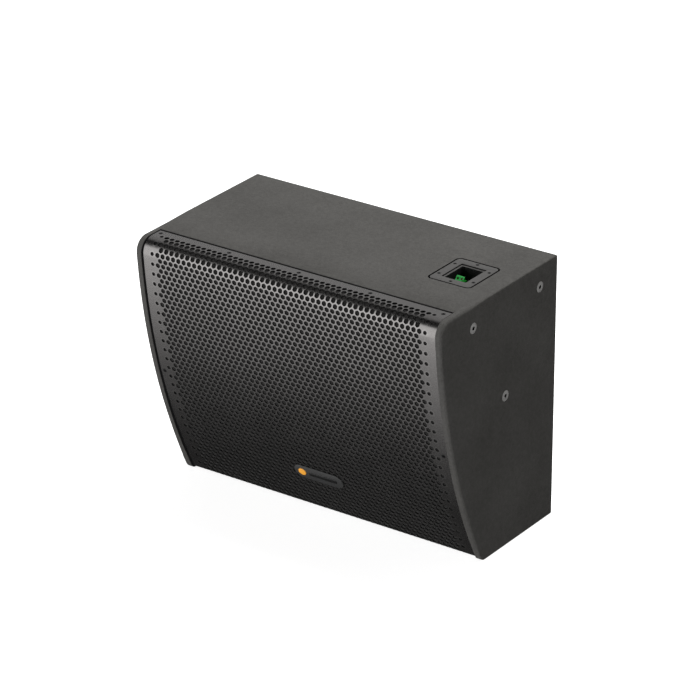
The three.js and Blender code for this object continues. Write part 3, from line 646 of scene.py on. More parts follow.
def build_grille():
    verts, index, faces = [], {}, []

    def vid(x, s, shared=False):
        if shared:
            key = (round(x * 50), round(s * 50))
            if key in index:
                return index[key]
            index[key] = len(verts)
        verts.append((x, s))
        return len(verts) - 1

    centres = []
    for k in range(N_ROWS):
        s = ROW0 + k * ROW
        if k % 2 == 0:
            xs = [(n * P, abs(n) == 25) for n in range(-25, 26)]
        else:
            xs = [((n + 0.5) * P, False) for n in range(-24, 24)]
        for x, small in xs:
            centres.append((x, s, small))
    R = P / math.sqrt(3)
    edge_use = {}
    for x, s, small in centres:
        corner = [vid(x + R * math.cos(math.radians(90 + 60 * i)), s + R * math.sin(math.radians(90 + 60 * i)), True) for i in range(6)]
        hole = [vid(*p) for p in hole_outline(x, s, small)]
        for i in range(6):
            j = (i + 1) % 6
            faces.append((corner[i], hole[2 * i], hole[2 * i + 1]))
            faces.append((corner[i], hole[2 * i + 1], hole[2 * j], corner[j]))
            e = tuple(sorted((corner[i], corner[j])))
            edge_use[e] = edge_use.get(e, 0) + 1
    web_count = len(faces)
    # plain margins: constrained triangulation between the punched field and the sheet's edge
    border = [e for e, n in edge_use.items() if n == 1]
    ids = sorted({v for e in border for v in e})
    pos = {v: i for i, v in enumerate(ids)}
    pts = [verts[v] for v in ids]
    edges = [(pos[a], pos[b]) for a, b in border]
    L = path.length
    # stations along the sheet, close together in the bends
    st = [0.0, 4.0, 9.4, 15.0]
    def fill(a, b, step):
        n = max(1, int(round((b - a) / step)))
        return [a + (b - a) * i / n for i in range(n)]
    st += fill(path.s_bend, path.s_front, 2.6) + fill(path.s_front, path.s_low, 9.0) + fill(path.s_low, path.s_flat, 2.2) + fill(path.s_flat, L, 7.0) + [L]
    st = sorted(set(round(v, 4) for v in st))
    def outline_ring():
        ring = [(GRILLE_L, s) for s in st]
        xs = np.linspace(GRILLE_L, GRILLE_R, 60)[1:-1]
        ring += [(x, L) for x in xs]
        ring += [(GRILLE_R, s) for s in reversed(st)]
        ring += [(x, 0.0) for x in reversed(xs)]
        return ring
    ring = outline_ring()
    base = len(pts)
    pts += ring
    edges += [(base + i, base + (i + 1) % len(ring)) for i in range(len(ring))]
    screws = [(x, 9.4) for x in (-285, -142.5, 0, 142.5, 285)] + [(x, path.s_of_front_z(225.5)) for x in (-286, 286)]
    SR = 3.7
    for x, s in screws:
        base = len(pts)
        c = [(x + SR * math.cos(2 * math.pi * i / 20), s + SR * math.sin(2 * math.pi * i / 20)) for i in range(20)]
        pts += c
        edges += [(base + i, base + (i + 1) % 20) for i in range(20)]
    lat = np.array([(x, s) for x, s, _ in centres])
    def clear(x, s, m):
        if min(GRILLE_R - x, x - GRILLE_L, s, L - s) < m:
            return False
        if any((x - a) ** 2 + (s - b) ** 2 < (SR + m) ** 2 for a, b in screws):
            return False
        return ((lat[:, 0] - x) ** 2 + (lat[:, 1] - s) ** 2).min() > (R + m * 0.6) ** 2
    for s in st:
        for x in (-290.5, -284.5, 284.5, 290.5):
            if clear(x, s, 1.5):
                pts.append((x, s))
    for s in (4.0, 9.4, path.length - 6, path.length - 12):
        for x in np.linspace(-270, 270, 60):
            if clear(x, s, 1.5):
                pts.append((x, s))
    for k in range(1, N_ROWS, 2):
        s = ROW0 + k * ROW
        for x in (24.5 * P, 25.2 * P):
            for q in (-2.2, 0.0, 2.2):
                pts += [(x, s + q), (-x, s + q)]
    out = mgeo.delaunay_2d_cdt([Vector(p) for p in pts], edges, [], 0, 1e-5)
    ov, of_, src = out[0], out[2], out[3]
    vmap = []
    for p, o in zip(ov, src):
        o = [i for i in o if i < len(ids)]
        vmap.append(ids[o[0]] if o else vid(p.x, p.y))
    for f in of_:
        cx = sum(ov[i].x for i in f) / len(f)
        cy = sum(ov[i].y for i in f) / len(f)
        if any((cx - a) ** 2 + (cy - b) ** 2 < (SR * 0.99) ** 2 for a, b in screws):
            continue
        d = lat - (cx, cy)
        near = d[(d ** 2).sum(1).argmin()]
        ax, ay = abs(near[0]), abs(near[1])
        inside = ax < P / 2 + 0.02 and ay < R - ax / math.sqrt(3) + 0.02
        if inside:
            continue
        faces.append(tuple(vmap[i] for i in f))
    # thicken: outer face, inner face, walls along every free edge
    bm = bmesh.new()
    outer, inner = [], []
    for x, s in verts:
        (b, z), (nb, nz) = path.at(min(max(s, 0.0), L))
        outer.append(bm.verts.new((x * 0.001, (b + YB) * 0.001, z * 0.001)))
        inner.append(bm.verts.new((x * 0.001, (b - nb * SHEET + YB) * 0.001, (z - nz * SHEET) * 0.001)))
    count = {}
    for n_face, f in enumerate(faces):
        # keep one winding in (x, s)
        a = 0.0
        for i in range(len(f)):
            x0, y0 = verts[f[i]]
            x1, y1 = verts[f[(i + 1) % len(f)]]
            a += x0 * y1 - x1 * y0
        f = f if a > 0 else tuple(reversed(f))
        try:
            front_face = bm.faces.new([outer[i] for i in f])
            bm.faces.new([inner[i] for i in reversed(f)])
            # painted highlight: the punched field's faces take the lighter grille_web material
            if n_face < web_count:
                front_face.material_index = 2
        except ValueError:
            continue
        for i in range(len(f)):
            e = (f[i], f[(i + 1) % len(f)])
            count[e] = count.get(e, 0) + 1
    for (a, b) in list(count):
        if (b, a) not in count:
            try:
                f = bm.faces.new([outer[b], outer[a], inner[a], inner[b]])
                # painted shade: the walls of the punched holes take the near-black grille_cut material
                if all(1.0 < verts[v][1] < L - 1.0 and GRILLE_L + 0.5 < verts[v][0] < GRILLE_R - 0.5 for v in (a, b)):
                    f.material_index = 1
            except ValueError:
                pass
    loose = [v for v in bm.verts if not v.link_faces]
    bmesh.ops.delete(bm, geom=loose, context="VERTS")
    open_edges = sum(1 for e in bm.edges if len(e.link_faces) != 2)
    print("grille faces", len(bm.faces), "open edges", open_edges)
    ob = finish_mesh(bm, "grille_sheet", [M["grille"], M["grille_cut"], M["grille_web"]], "cabinet", "grille", angle=40, weld=0)
    return ob


grille = build_grille()


# foam behind it, cut to the same curve and rolled into the top bend
def build_foam():
    s0 = path.s_bend + 25.2 * math.radians(12)
    s1 = path.s_flat + 4.0
    n = 150
    outer, inner = [], []
    for i in range(n + 1):
        s = s0 + (s1 - s0) * i / n
        (b, z), (nb, nz) = path.at(s)
        k = min(1.0, max(0.0, (s - path.s_front + 6) / 26))
        th = 2.0 + 2.4 * k * k * (3 - 2 * k)
        if s > path.s_low - 10:
            k = min(1.0, (s - path.s_low + 10) / 20)
            th -= 1.6 * k * k * (3 - 2 * k)
        a, c = SHEET + 0.9, SHEET + 0.9 + th
        outer.append((b - nb * a, z - nz * a))
        inner.append((b - nb * c, z - nz * c))
    prof = outer + inner[::-1]
    bm = ring_loft([[(x, b + YB, z) for b, z in prof] for x in np.linspace(-277.0, 277.0, 5)])
    ob = finish_mesh(bm, "foam_sheet", M["foam"], "cabinet", "grille_foam")
    return ob


build_foam()


# ------------------------------------------------------------------ placing small turned parts
def frame_at(origin, z_axis, x_hint=(1, 0, 0)):
    z = Vector(z_axis).normalized()
    x = Vector(x_hint)
    x = (x - z * x.dot(z)).normalized()
    y = z.cross(x)
    m = Matrix((x, y, z)).transposed().to_4x4()
    return Matrix.Translation(Vector(origin) * 0.001) @ m


def front_frame(x, z, t=RECESS):
    b = front_at(z, t)
    n = Vector((0, b - ARC_B, z - ARC_Z)).normalized()
    return frame_at((x, b + YB, z), n)


def prism(points, z0, z1):
    return ring_loft([[(x, y, z) for x, y in points] for z in (z0, z1)])


def star(r_out, r_in, n=6):
    pts = []
    for i in range(n * 4):
        a = 2 * math.pi * i / (n * 4)
        r = (r_out + r_in) / 2 + (r_out - r_in) / 2 * math.cos(n * a)
        pts.append((r * math.cos(a), r * math.sin(a)))
    return pts


def hexagon(af):
    r = af / math.sqrt(3)
    return [(r * math.cos(math.radians(60 * i)), r * math.sin(math.radians(60 * i))) for i in range(6)]


def cross(w, l):
    h = w / 2
    return [(l, h), (h, h), (h, l), (-h, l), (-h, h), (-l, h), (-l, -h), (-h, -h), (-h, -l), (h, -l), (h, -h), (l, -h)]


def make_screw_mesh(name, profile, recess, depth, mat, segs=40):
    ob = scratch(lathe(profile, segs), name)
    boolean(ob, scratch(prism(recess, profile[0][1] - depth, profile[0][1] + 5)))
    resmooth(ob, 30)
    ob.data.materials.clear()
    ob.data.materials.append(mat)
    ob.data.materials.append(M["socket"])
    top_z = profile[0][1] / 1000
    reach = max(math.hypot(*q) for q in recess) / 1000 + 1e-5
    for f in ob.data.polygons:
        c = f.center
        f.material_index = 1 if (top_z - depth / 1000 - 1e-5 < c.z < top_z - 5e-5 and math.hypot(c.x, c.y) < reach) else 0
    me = ob.data
    bpy.data.objects.remove(ob)
    return me


def place_mesh(me, name, matrix, body, node):
    mesh = me.copy()
    mesh.transform(matrix)
    ob = bpy.data.objects.new(name, mesh)
    mesh.name = name
    scene.collection.objects.link(ob)
    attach(ob, body)
    if node:
        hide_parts(node)
    return ob


# countersunk grille screws, head flush with the sheet
csk = make_screw_mesh(
    "csk_grille", [(0, -0.12), (2.9, -0.12), (3.3, -0.2), (3.42, -0.4), (1.8, -2.0), (1.8, -12.5), (0.6, -13.4), (0, -13.4)],
    cross(0.9, 1.9), 1.3, M["screw"])
for i, x in enumerate((-285, -142.5, 0, 142.5, 285)):
    m = frame_at((x, -305.8 + YB, H - TOP_RECESS), (0, 0, 1)) @ Matrix.Rotation(0.35 + i * 0.9, 4, "Z")
    place_mesh(csk, f"screw_top_{i + 1}", m, "cabinet", f"grille_screw_top_{i + 1}")
for s, w in ((-1, "left"), (1, "right")):
    m = front_frame(s * 286, 225.5) @ Matrix.Rotation(0.5 * s, 4, "Z")
    place_mesh(csk, f"screw_side_{w}", m, "cabinet", f"grille_screw_{w}")

# M10 countersunk socket screws
m10 = make_screw_mesh(
    "m10_csk", [(0, -0.35), (9.0, -0.35), (9.5, -0.5), (9.7, -0.85), (5.1, -5.4), (5.1, -26.5), (4.3, -27.6), (0, -27.6)],
    hexagon(6.2), 4.0, M["fly"], 64)
for s, w in ((-1, "left"), (1, "right")):
    for i, (b, z) in enumerate(FLY):
        m = frame_at((s * W / 2, b + YB, z), (s, 0, 0), (0, 1, 0)) @ Matrix.Rotation(0.2 + i * 0.4, 4, "Z")
        place_mesh(m10, f"fixing_screw_{w}_{i + 1}", m, "cabinet", f"fly_screw_{w}_{i + 1}")

# ------------------------------------------------------------------ badge: plain plate with an amber bar
def on_front(x, s, lift):
    (b, z), (nb, nz) = path.at(s)
    return (x, b + nb * lift + YB, z + nz * lift)


def plate_on_front(name, cx, s0, a, b, r, lo, hi, mat, node=None, edge=0.5):
    """A rounded plate that lies on the curved sheet, its face softened at the rim; its rings follow the curve and each
    face is one n-gon.
    """
    def ring(da, lift):
        return [on_front(cx + x, s0 - y, lift) for x, y, _ in rrect(a - da, b - da, max(0.2, r - da), 0, 10)]
    rings = [ring(0, lo), ring(0, hi - edge), ring(edge * 0.3, hi - edge * 0.3), ring(edge, hi)]
    bm = bmesh.new()
    vs = [[bm.verts.new(Vector(p) * 0.001) for p in rr] for rr in rings]
    n = len(rings[0])
    for p, q in zip(vs, vs[1:]):
        for i in range(n):
            bm.faces.new([p[i], p[(i + 1) % n], q[(i + 1) % n], q[i]])
    for loop, rev in ((vs[0], True), (vs[-1], False)):
        bm.faces.new(list(reversed(loop)) if rev else loop)
    return finish_mesh(bm, name, mat, "cabinet", node or (), angle=40)


S_BADGE = path.s_of_front_z(87)
plate_on_front("badge_plate", 2, S_BADGE, 50, 15, 15, 0.15, 2.0, M["badge"], "badge")
plate_on_front("badge_dot", -32, S_BADGE, 7.6, 7.6, 7.5, 1.9, 2.6, M["amber"])
plate_on_front("badge_bar", 11, S_BADGE, 29, 4.2, 4.1, 1.9, 2.6, M["badge_bar"])

# ------------------------------------------------------------------ terminal dish
cy = DISH_B + YB
rings = []
def dr(a, b, r, z):
    rings.append(rrect(a, b, r, H + z, 8, DISH_X, cy))
dr(22.6, 28.85, 2.6, -44.5)
dr(23, 29.25, 3, -44.1)
dr(23, 29.25, 3, -5)
dr(27, 33.25, 3.5, -5)
dr(27, 33.25, 3.5, -2.8)
dr(39.9, 46.4, 6.9, -2.8)
dr(39.9, 46.4, 6.9, -0.55)
dr(39.75, 46.25, 6.75, -0.15)
dr(39.3, 45.8, 6.3, 0.0)
dr(25.0, 31.25, 2.5, 0.0)
dr(24.62, 30.87, 2.1, -0.18)
dr(24.5, 30.75, 2.0, -0.5)
dr(24.5, 30.75, 2.0, -2.5)
dr(20.9, 27.15, 1.9, -2.5)
dr(20.6, 26.85, 1.6, -2.62)
dr(20.5, 26.75, 1.5, -2.9)
dr(20.5, 26.75, 1.5, -41.5)
dr(20.0, 26.25, 1.0, -42.0)
dish = finish_mesh(ring_loft(rings), "dish_moulding", [M["dish"], M["pit"]], None)
spots = [(-33.8, 23.6), (33.8, 23.6), (-33.8, -23.6), (33.8, -23.6), (0, 40), (0, -40)]
for x, y in spots:
    bm = lathe([(0, 3), (3.6, 3), (3.15, -0.3), (1.8, -2.2), (1.8, -8), (0, -8)], 32)
    bmesh.ops.transform(bm, matrix=Matrix.Translation(Vector((DISH_X + x, cy + y, H)) * 0.001), verts=bm.verts)
    boolean(dish, scratch(bm))
resmooth(dish, 28)
# painted shade: the pit, the window's inner walls and the plate's outer rim wall take the near-black material, standing
# in for shade in these recesses
for f in dish.data.polygons:
    c = f.center * 1000
    inside = abs(c.x - DISH_X) < 24.6 and abs(c.y - cy) < 30.9
    rim = (abs(c.x - DISH_X) > 39.7 or abs(c.y - cy) > 46.2) and c.z < H - 0.5
    if rim or (inside and (c.z < H - 2.62 or (abs(f.normal.z) < 0.5 and c.z < H - 0.4))):
        f.material_index = 1
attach(dish, "cabinet")
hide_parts("terminal_dish")

small = make_screw_mesh(
    "csk_dish", [(0, -0.3), (2.3, -0.3), (2.65, -0.4), (2.78, -0.6), (1.45, -2.2), (1.45, -11.4), (0.5, -12), (0, -12)],
    cross(0.8, 1.5), 1.1, M["screw"], 32)
for i, (x, y) in enumerate(spots):
    m = Matrix.Translation(Vector((DISH_X + x, cy + y, H)) * 0.001) @ Matrix.Rotation(0.2 + i * 0.7, 4, "Z")
    place_mesh(small, f"dish_screw_{i + 1}", m, "cabinet", f"terminal_screw_{i + 1}")


# ------------------------------------------------------------------ pluggable terminal
TBX0, TBX1, TBB = 208.0, 223.4, -150.5
yb = TBB + YB
Z1 = H - 31
ZT = H - 8
PX = (211.9, 219.5)


def box_bm(x0, x1, y0, y1, z0, z1):
    return ring_loft([[(x0, y0, z), (x1, y0, z), (x1, y1, z), (x0, y1, z)] for z in (z0, z1)])


def bevelled(ob, width, segs=2, angle=30):
    m = ob.modifiers.new("bev", "BEVEL")
    m.width = width * 0.001
    m.segments = segs
    m.limit_method = "ANGLE"
    m.angle_limit = math.radians(angle)
    apply_modifiers(ob)


hd = scratch(box_bm(TBX0, TBX1, yb - 17, yb, H - 42 + 0.2, Z1), "terminal_socket")
bevelled(hd, 0.5)
for x in PX:
    boolean(hd, scratch(box_bm(x - 2.6, x + 2.6, yb - 12, yb - 5, Z1 - 4, Z1 + 3)))
    boolean(hd, scratch(box_bm(x - 0.6, x + 0.6, yb - 9.1, yb - 7.9, Z1 - 6, Z1 + 8)), "UNION")
hd.data.materials.clear()
hd.data.materials.append(M["green"])
resmooth(hd, 30)
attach(hd, "cabinet")
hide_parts("terminal_header")

prof = [(0, Z1 + 0.3), (0, ZT), (-1, ZT), (-10, ZT - 9), (-17, ZT - 9), (-17, Z1 + 0.3)]
plug = scratch(ring_loft([[(x, yb + b, z) for b, z in prof] for x in (TBX0, TBX1)]), "plug_body")
boolean(plug, scratch(box_bm(TBX1 - 0.5, TBX1 + 6, yb - 14, yb - 3, Z1 + 0.3, ZT - 3.5)), "UNION")
bevelled(plug, 0.5)
boolean(plug, scratch(box_bm(215.45, 215.95, yb - 19, yb + 2, ZT - 12.5, ZT + 3)))
N45 = (0, -math.sqrt(0.5), math.sqrt(0.5))
for x in PX:
    fm = frame_at((x, yb - 4.25, ZT - 3.25), N45)
    bm = lathe([(0, 2), (2.3, 2), (2.3, -0.1), (1.95, -0.5), (1.95, -3.8), (0, -3.8)], 32)
    bmesh.ops.transform(bm, matrix=fm, verts=bm.verts)
    boolean(plug, scratch(bm))
    # wire entry funnel in the front face
    fm = frame_at((x, yb - 17, Z1 + 5), (0, -1, 0))
    bm = ring_loft([rrect(a, b, r, z, 5) for a, b, r, z in ((1.9, 1.9, 0.8, -8), (1.9, 1.9, 0.8, -1.0), (2.6, 2.6, 1.1, 0.35))])
    bmesh.ops.transform(bm, matrix=fm, verts=bm.verts)
    boolean(plug, scratch(bm))
    boolean(plug, scratch(box_bm(x - 1.2, x + 1.2, yb - 9.7, yb - 7.3, Z1 - 2, Z1 + 9)))
for k in range(5):
    z = Z1 + 3 + k * 1.5
    boolean(plug, scratch(box_bm(TBX0 - 0.25, TBX0 + 0.25, yb - 13, yb - 2, z, z + 0.7)))
    boolean(plug, scratch(box_bm(TBX1 + 5.75, TBX1 + 6.25, yb - 12.5, yb - 4.5, z, z + 0.7)))
plug.data.materials.clear()
plug.data.materials.append(M["green"])
plug.data.materials.append(M["green_dark"])
# painted shade: faces on the plug's +X side take the darker green
for f in plug.data.polygons:
    f.material_index = 1 if f.center.x * 1000 > TBX1 - 0.02 else 0
resmooth(plug, 30)
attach(plug, "terminal_plug_body")
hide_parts("terminal_plug")
# metal clamp cages seen down the wire entries
for i, x in enumerate(PX):
    fm = frame_at((x, yb - 17, Z1 + 5), (0, -1, 0))
    bm = ring_loft([rrect(1.75, 1.75, 0.7, z, 5) for z in (-6.5, -2.2)] + [rrect(1.3, 1.3, 0.5, z, 5) for z in (-2.2, -6.0)])
    bmesh.ops.transform(bm, matrix=fm, verts=bm.verts)
    finish_mesh(bm, f"clamp_cage_{i + 1}", M["clamp"], "terminal_plug_body")
slotted = make_screw_mesh(
    "clamp_screw", [(0, -0.15), (1.45, -0.15), (1.72, -0.4), (1.72, -0.9), (1.6, -1.0), (1.6, -3.5), (0, -3.5)],
    [(2.2, 0.28), (-2.2, 0.28), (-2.2, -0.28), (2.2, -0.28)], 0.8, M["clamp"], 32)
for i, x in enumerate(PX):
    m = frame_at((x, yb - 4.25, ZT - 3.25), N45) @ Matrix.Rotation(0.6 + i, 4, "Z")
    place_mesh(slotted, f"clamp_screw_head_{i + 1}", m, f"clamp_screw_body_{i + 1}", f"clamp_screw_{i + 1}")

# ------------------------------------------------------------------ drivers behind the grille
BM = (
    Matrix.Translation(Vector((0, BAFFLE_C[0] + YB, BAFFLE_C[1])) * 0.001)
    @ Matrix.Rotation(math.pi / 2 + TILT, 4, "X")
)


def at_baffle(xy):
    return BM @ Matrix.Translation(Vector((xy[0], xy[1], 0)) * 0.001)


WM = at_baffle(WOOFER)


def turned(name, profile, matrix, mat, body, node, segs=96, closed=True, angle=32):
    return finish_mesh(lathe(profile, segs, matrix, closed), name, mat, body, node, angle=angle)


def smooth_profile(points, n=8):
    """Catmull-Rom through open points."""
    pts = [points[0]] + list(points) + [points[-1]]
    out = []
    for i in range(1, len(pts) - 2):
        p0, p1, p2, p3 = pts[i - 1], pts[i], pts[i + 1], pts[i + 2]
        for k in range(n):
            t = k / n
            out.append(tuple(
                0.5 * ((2 * p1[j]) + (-p0[j] + p2[j]) * t + (2 * p0[j] - 5 * p1[j] + 4 * p2[j] - p3[j]) * t * t + (-p0[j] + 3 * p1[j] - 3 * p2[j] + p3[j]) * t ** 3)
                for j in range(2)))
    out.append(points[-1])
    return out


def sheet_profile(line, t):
    """Both faces of a thin wall along a line of (radius, height)."""
    n = len(line)
    up, down = [], []
    for i, p in enumerate(line):
        a, b = line[max(0, i - 1)], line[min(n - 1, i + 1)]
        d = math.hypot(b[0] - a[0], b[1] - a[1]) or 1
        nx, nz = -(b[1] - a[1]) / d, (b[0] - a[0]) / d
        up.append((max(0.0, p[0] + nx * t / 2), p[1] + nz * t / 2))
        down.append((max(0.0, p[0] - nx * t / 2), p[1] - nz * t / 2))
    return up + down[::-1]


cone_line = smooth_profile([(39.6, -60.4), (56, -51.5), (80, -35.5), (104, -17.5), (116.5, -8.6), (118.4, -7.0)], 6)
turned("cone_paper", sheet_profile(cone_line, 1.1), WM, M["cone"], "woofer_moving", "woofer_cone")
cap_line = smooth_profile([(0.001, -40.6), (12, -41.3), (24, -44.0), (35, -48.6), (42.4, -54.2)], 6)
turned("dust_cap_dome", [(0, cap_line[0][1] + 0.5)] + sheet_profile(cap_line, 1.0)[1:-1] + [(0, cap_line[0][1] - 0.5)], WM, M["cone"], "woofer_moving", "woofer_dust_cap", closed=False)
# former with a wound coil at its rear end
turns = []
for k in range(18):
    z = -102.6 + k * 0.8
    turns += [(38.0, z), (38.3, z + 0.25), (38.3, z + 0.5), (38.0, z + 0.8)]
turned("coil_and_former", [(37.35, -103)] + turns + [(37.8, -86), (37.8, -60.2), (37.35, -60.2)], WM, M["coil"], "woofer_moving", "woofer_voice_coil", angle=50)

roll = smooth_profile([(119.7, -5.4), (120.9, -3.4), (121.4, 0.6), (122.9, 5.0), (127.0, 7.9), (131.0, 5.4), (132.6, 4.2), (134.4, 4.05), (137.2, 4.05)], 6)
surround = turned("surround_roll", sheet_profile(roll, 0.9), WM, M["rubber"], None, "woofer_surround", segs=120)
corr = [(39.0 + (74.0 - 39.0) * i / 60, -76.0 + 1.15 * math.sin(2 * math.pi * 5.5 * i / 60)) for i in range(61)]
spider = turned("spider_disc", sheet_profile(corr, 0.6), WM, M["spider"], None, "woofer_spider", segs=120)


def radial_blend(ob):
    """Bakes the object's transform into its mesh."""
    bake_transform(ob)


radial_blend(surround)
radial_blend(spider)

# basket with six windows
bk = [
    (154, 0.4), (154, 5.9), (153.5, 6.4), (138.4, 6.4), (138, 6.0), (138, 3.4), (131, 3.4), (131, -2), (71, -84), (41, -84), (41, -88), (74.5, -88), (135.5, -4), (140.3, 0.4),
]
bk = [(154, 0.4), (154, 5.9), (153.5, 6.4), (138.4, 6.4), (138, 6.0), (138, 3.2), (131, 3.2), (131, -2), (71, -84), (41, -84), (41, -88), (74.5, -88), (135.5, -4), (140.3, 0.4)]
basket = scratch(lathe(bk, 96, None, True), "basket_casting")
for i in range(6):
    a = i * math.pi / 3 + 0.2
    # window: a wedge through the conical wall, narrower towards the magnet
    c, s = math.cos(a), math.sin(a)
    pts_lo = [(-15, 60), (15, 60), (15, 140), (-15, 140)]
    pts_hi = [(-24, 70), (24, 70), (24, 150), (-24, 150)]
    rings2 = [[(x * c - y * s, x * s + y * c, z) for x, y in pp] for pp, z in ((pts_lo, -70), (pts_hi, -20))]
    boolean(basket, scratch(ring_loft(rings2)))
for d in (45, 135, 225, 315):
    bm = lathe([(0, 20), (2.9, 20), (2.9, -20), (0, -20)], 24)
    bmesh.ops.transform(bm, matrix=Matrix.Translation((0.147 * math.cos(math.radians(d)), 0.147 * math.sin(math.radians(d)), 0)), verts=bm.verts)
    boolean(basket, scratch(bm))
bevelled(basket, 0.5, 1, 40)
basket.data.transform(WM)
basket.data.materials.clear()
basket.data.materials.append(M["cast"])
resmooth(basket, 35)
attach(basket, "cabinet")
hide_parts("woofer_basket")

turned("motor_top_plate", [(39.4, -95.9), (39.8, -96.3), (60.6, -96.3), (61, -95.9), (61, -88.7), (60.6, -88.3), (39.8, -88.3), (39.4, -88.7)], WM, M["plate"], "cabinet", "woofer_top_plate")
turned("motor_magnet", [(46, -112), (46.6, -112.6), (59.4, -112.6), (60, -112), (60, -97.2), (59.4, -96.6), (46.6, -96.6), (46, -97.2)], WM, M["magnet"], "cabinet", "woofer_magnet")
turned("motor_yoke", [(10, -120.2), (10.8, -121), (57.6, -121), (59.4, -119.8), (61, -117.6), (61, -113.3), (60.6, -112.9), (36.4, -112.9), (36.4, -88.6), (35.8, -88), (10.8, -88), (10, -88.8)], WM, M["plate"], "cabinet", "woofer_yoke")

cap_screw = make_screw_mesh(
    "m5_cap", [(0, 11.7), (3.5, 11.7), (4.0, 11.5), (4.2, 11.0), (4.2, 6.7), (2.5, 6.7), (2.5, -21.4), (2.0, -22), (0, -22)],
    hexagon(4.0), 3.0, M["screw"], 40)
for i, d in enumerate((45, 135, 225, 315)):
    m = WM @ Matrix.Translation((0.147 * math.cos(math.radians(d)), 0.147 * math.sin(math.radians(d)), 0))
    place_mesh(cap_screw, f"basket_bolt_{i + 1}", m, "cabinet", f"woofer_bolt_{i + 1}")

# horn: smooth flare from a round throat to a soft-cornered mouth
HM = at_baffle(HORN)


def super_ring(a, b, p, z, n=72):
    out = []
    for i in range(n):
        t = 2 * math.pi * (i + 0.5) / n
        c, s = math.cos(t), math.sin(t)
        out.append((a * math.copysign(abs(c) ** p, c), b * math.copysign(abs(s) ** p, s), z))
    return out


def horn_sections(extra, n=26):
    keys = [(-95, 12.7, 12.7, 1.0), (-70, 24, 19, 0.8), (-40, 48, 33, 0.5), (-15, 72, 50, 0.35), (5.4, 87, 63.4, 0.25)]
    out = []
    for i in range(n + 1):
        z = keys[0][0] + (keys[-1][0] - keys[0][0]) * i / n
        for k0, k1 in zip(keys, keys[1:]):
            if k0[0] <= z <= k1[0] + 1e-9:
                t = (z - k0[0]) / (k1[0] - k0[0])
                a, b, p = (k0[j] + (k1[j] - k0[j]) * t for j in (1, 2, 3))
                out.append(super_ring(a + extra, b + extra, p, z))
                break
    return out


inner = horn_sections(0.0)
outer = horn_sections(2.6)
horn_ob = scratch(ring_loft(outer[:-1] + [[(x, y, 5.4) for x, y, _ in outer[-1]]]), "horn_flare")
flange = scratch(ring_loft([rrect(106.6, 81.6, 7.6, 0.5, 8), rrect(107, 82, 8, 0.9, 8), rrect(107, 82, 8, 4.9, 8), rrect(106.5, 81.5, 7.5, 5.4, 8)]))
boolean(horn_ob, flange, "UNION")
boolean(horn_ob, scratch(lathe([(0, -95), (37.5, -95), (38, -94.5), (38, -90.5), (37.5, -90), (0, -90)], 64)), "UNION")
cut_in = [[(x, y, z - 3) for x, y, z in inner[0]]] + inner + [[(x * 1.02, y * 1.02, 9) for x, y, _ in inner[-1]]]
boolean(horn_ob, scratch(ring_loft(cut_in)))
horn_ob.data.transform(HM)
horn_ob.data.materials.clear()
horn_ob.data.materials.append(M["horn"])
resmooth(horn_ob, 35)
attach(horn_ob, "cabinet")
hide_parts("hf_horn")
turned("hf_motor", [
    (12.7, -116), (30, -116), (30, -121), (26, -121), (26, -132.5), (41.6, -132.5), (44.2, -131), (45, -129.6), (45, -98), (44, -96.4), (38, -95.3), (12.7, -95.3),
], HM, M["magnet"], "cabinet", "hf_driver")
dome = smooth_profile([(0.001, -119.3), (8, -119.9), (15, -122.0), (20, -125.4), (22, -126.3), (24.3, -126.4)], 6)
turned("hf_dome", [(0, dome[0][1] + 0.35)] + sheet_profile(dome, 0.6)[1:-1] + [(0, dome[0][1] - 0.35)], HM, M["diaphragm"], "hf_moving", "hf_diaphragm", closed=False, segs=72)
turned("hf_cover", [
    (0, -152), (36, -152), (39.4, -151), (41.4, -148.8), (42, -146), (42, -132.8), (38.5, -132.8), (38.5, -145.6), (37.4, -148), (35.5, -149), (0, -149),
], HM, M["cast"], "cabinet", "hf_rear_cap", closed=False)
PM = at_baffle(PORT)
flare = [(46, 0.5), (46, 2.9), (45.5, 3.4), (42.6, 3.4)] + [(35 + 7.6 * (1 - math.sin(t)), 3.4 - 13.4 * (1 - math.cos(t))) for t in np.linspace(0.1, math.pi / 2, 12)] + [(35, -60), (35, -124.6), (35.4, -125), (37.6, -125), (38, -124.6), (38, 0.5)]
turned("port_pipe", flare, PM, M["horn"], "cabinet", "port_tube")

# wooden insides and electronics keep their CAD shape
for node, mat in {
    "baffle_board": "black", "brace_strut": "ply", "grille_batten_left": "black", "grille_batten_right": "black",
    "fly_plate_left": "plate", "fly_plate_right": "plate", "crossover_board": "pcb",
}.items():
    ob = NODES[node]
    ob.data.materials.clear()
    ob.data.materials.append(M[mat])

# air-cored inductor: wound copper with cheeks left open
coil = []
for i in range(16):
    z = 0.6 + i * 1.08
    coil += [(25.6, z), (26.0, z + 0.3), (26.0, z + 0.7), (25.6, z + 1.0)]
im = frame_at((130, YB - PLY - 9.9, 100), (0, -1, 0))
turned("inductor_winding", [(9, 0.3), (9.3, 0.0), (25.3, 0.0)] + coil + [(25.3, 18.0), (9.3, 18.0), (9, 17.7)], im, M["copper"], "cabinet", "crossover_inductor", angle=50)
cm = frame_at((172, YB - PLY - 9.9 - 11.2, 118), (1, 0, 0), (0, 1, 0))
turned("capacitor_can", [(0, 0.6), (9.6, 0.6), (9.9, 0), (10.6, 0), (11, 0.6), (11, 45.4), (10.6, 46), (9.9, 46), (9.6, 45.4), (0, 45.4)], cm, M["film"], "cabinet", "crossover_capacitor", closed=False)


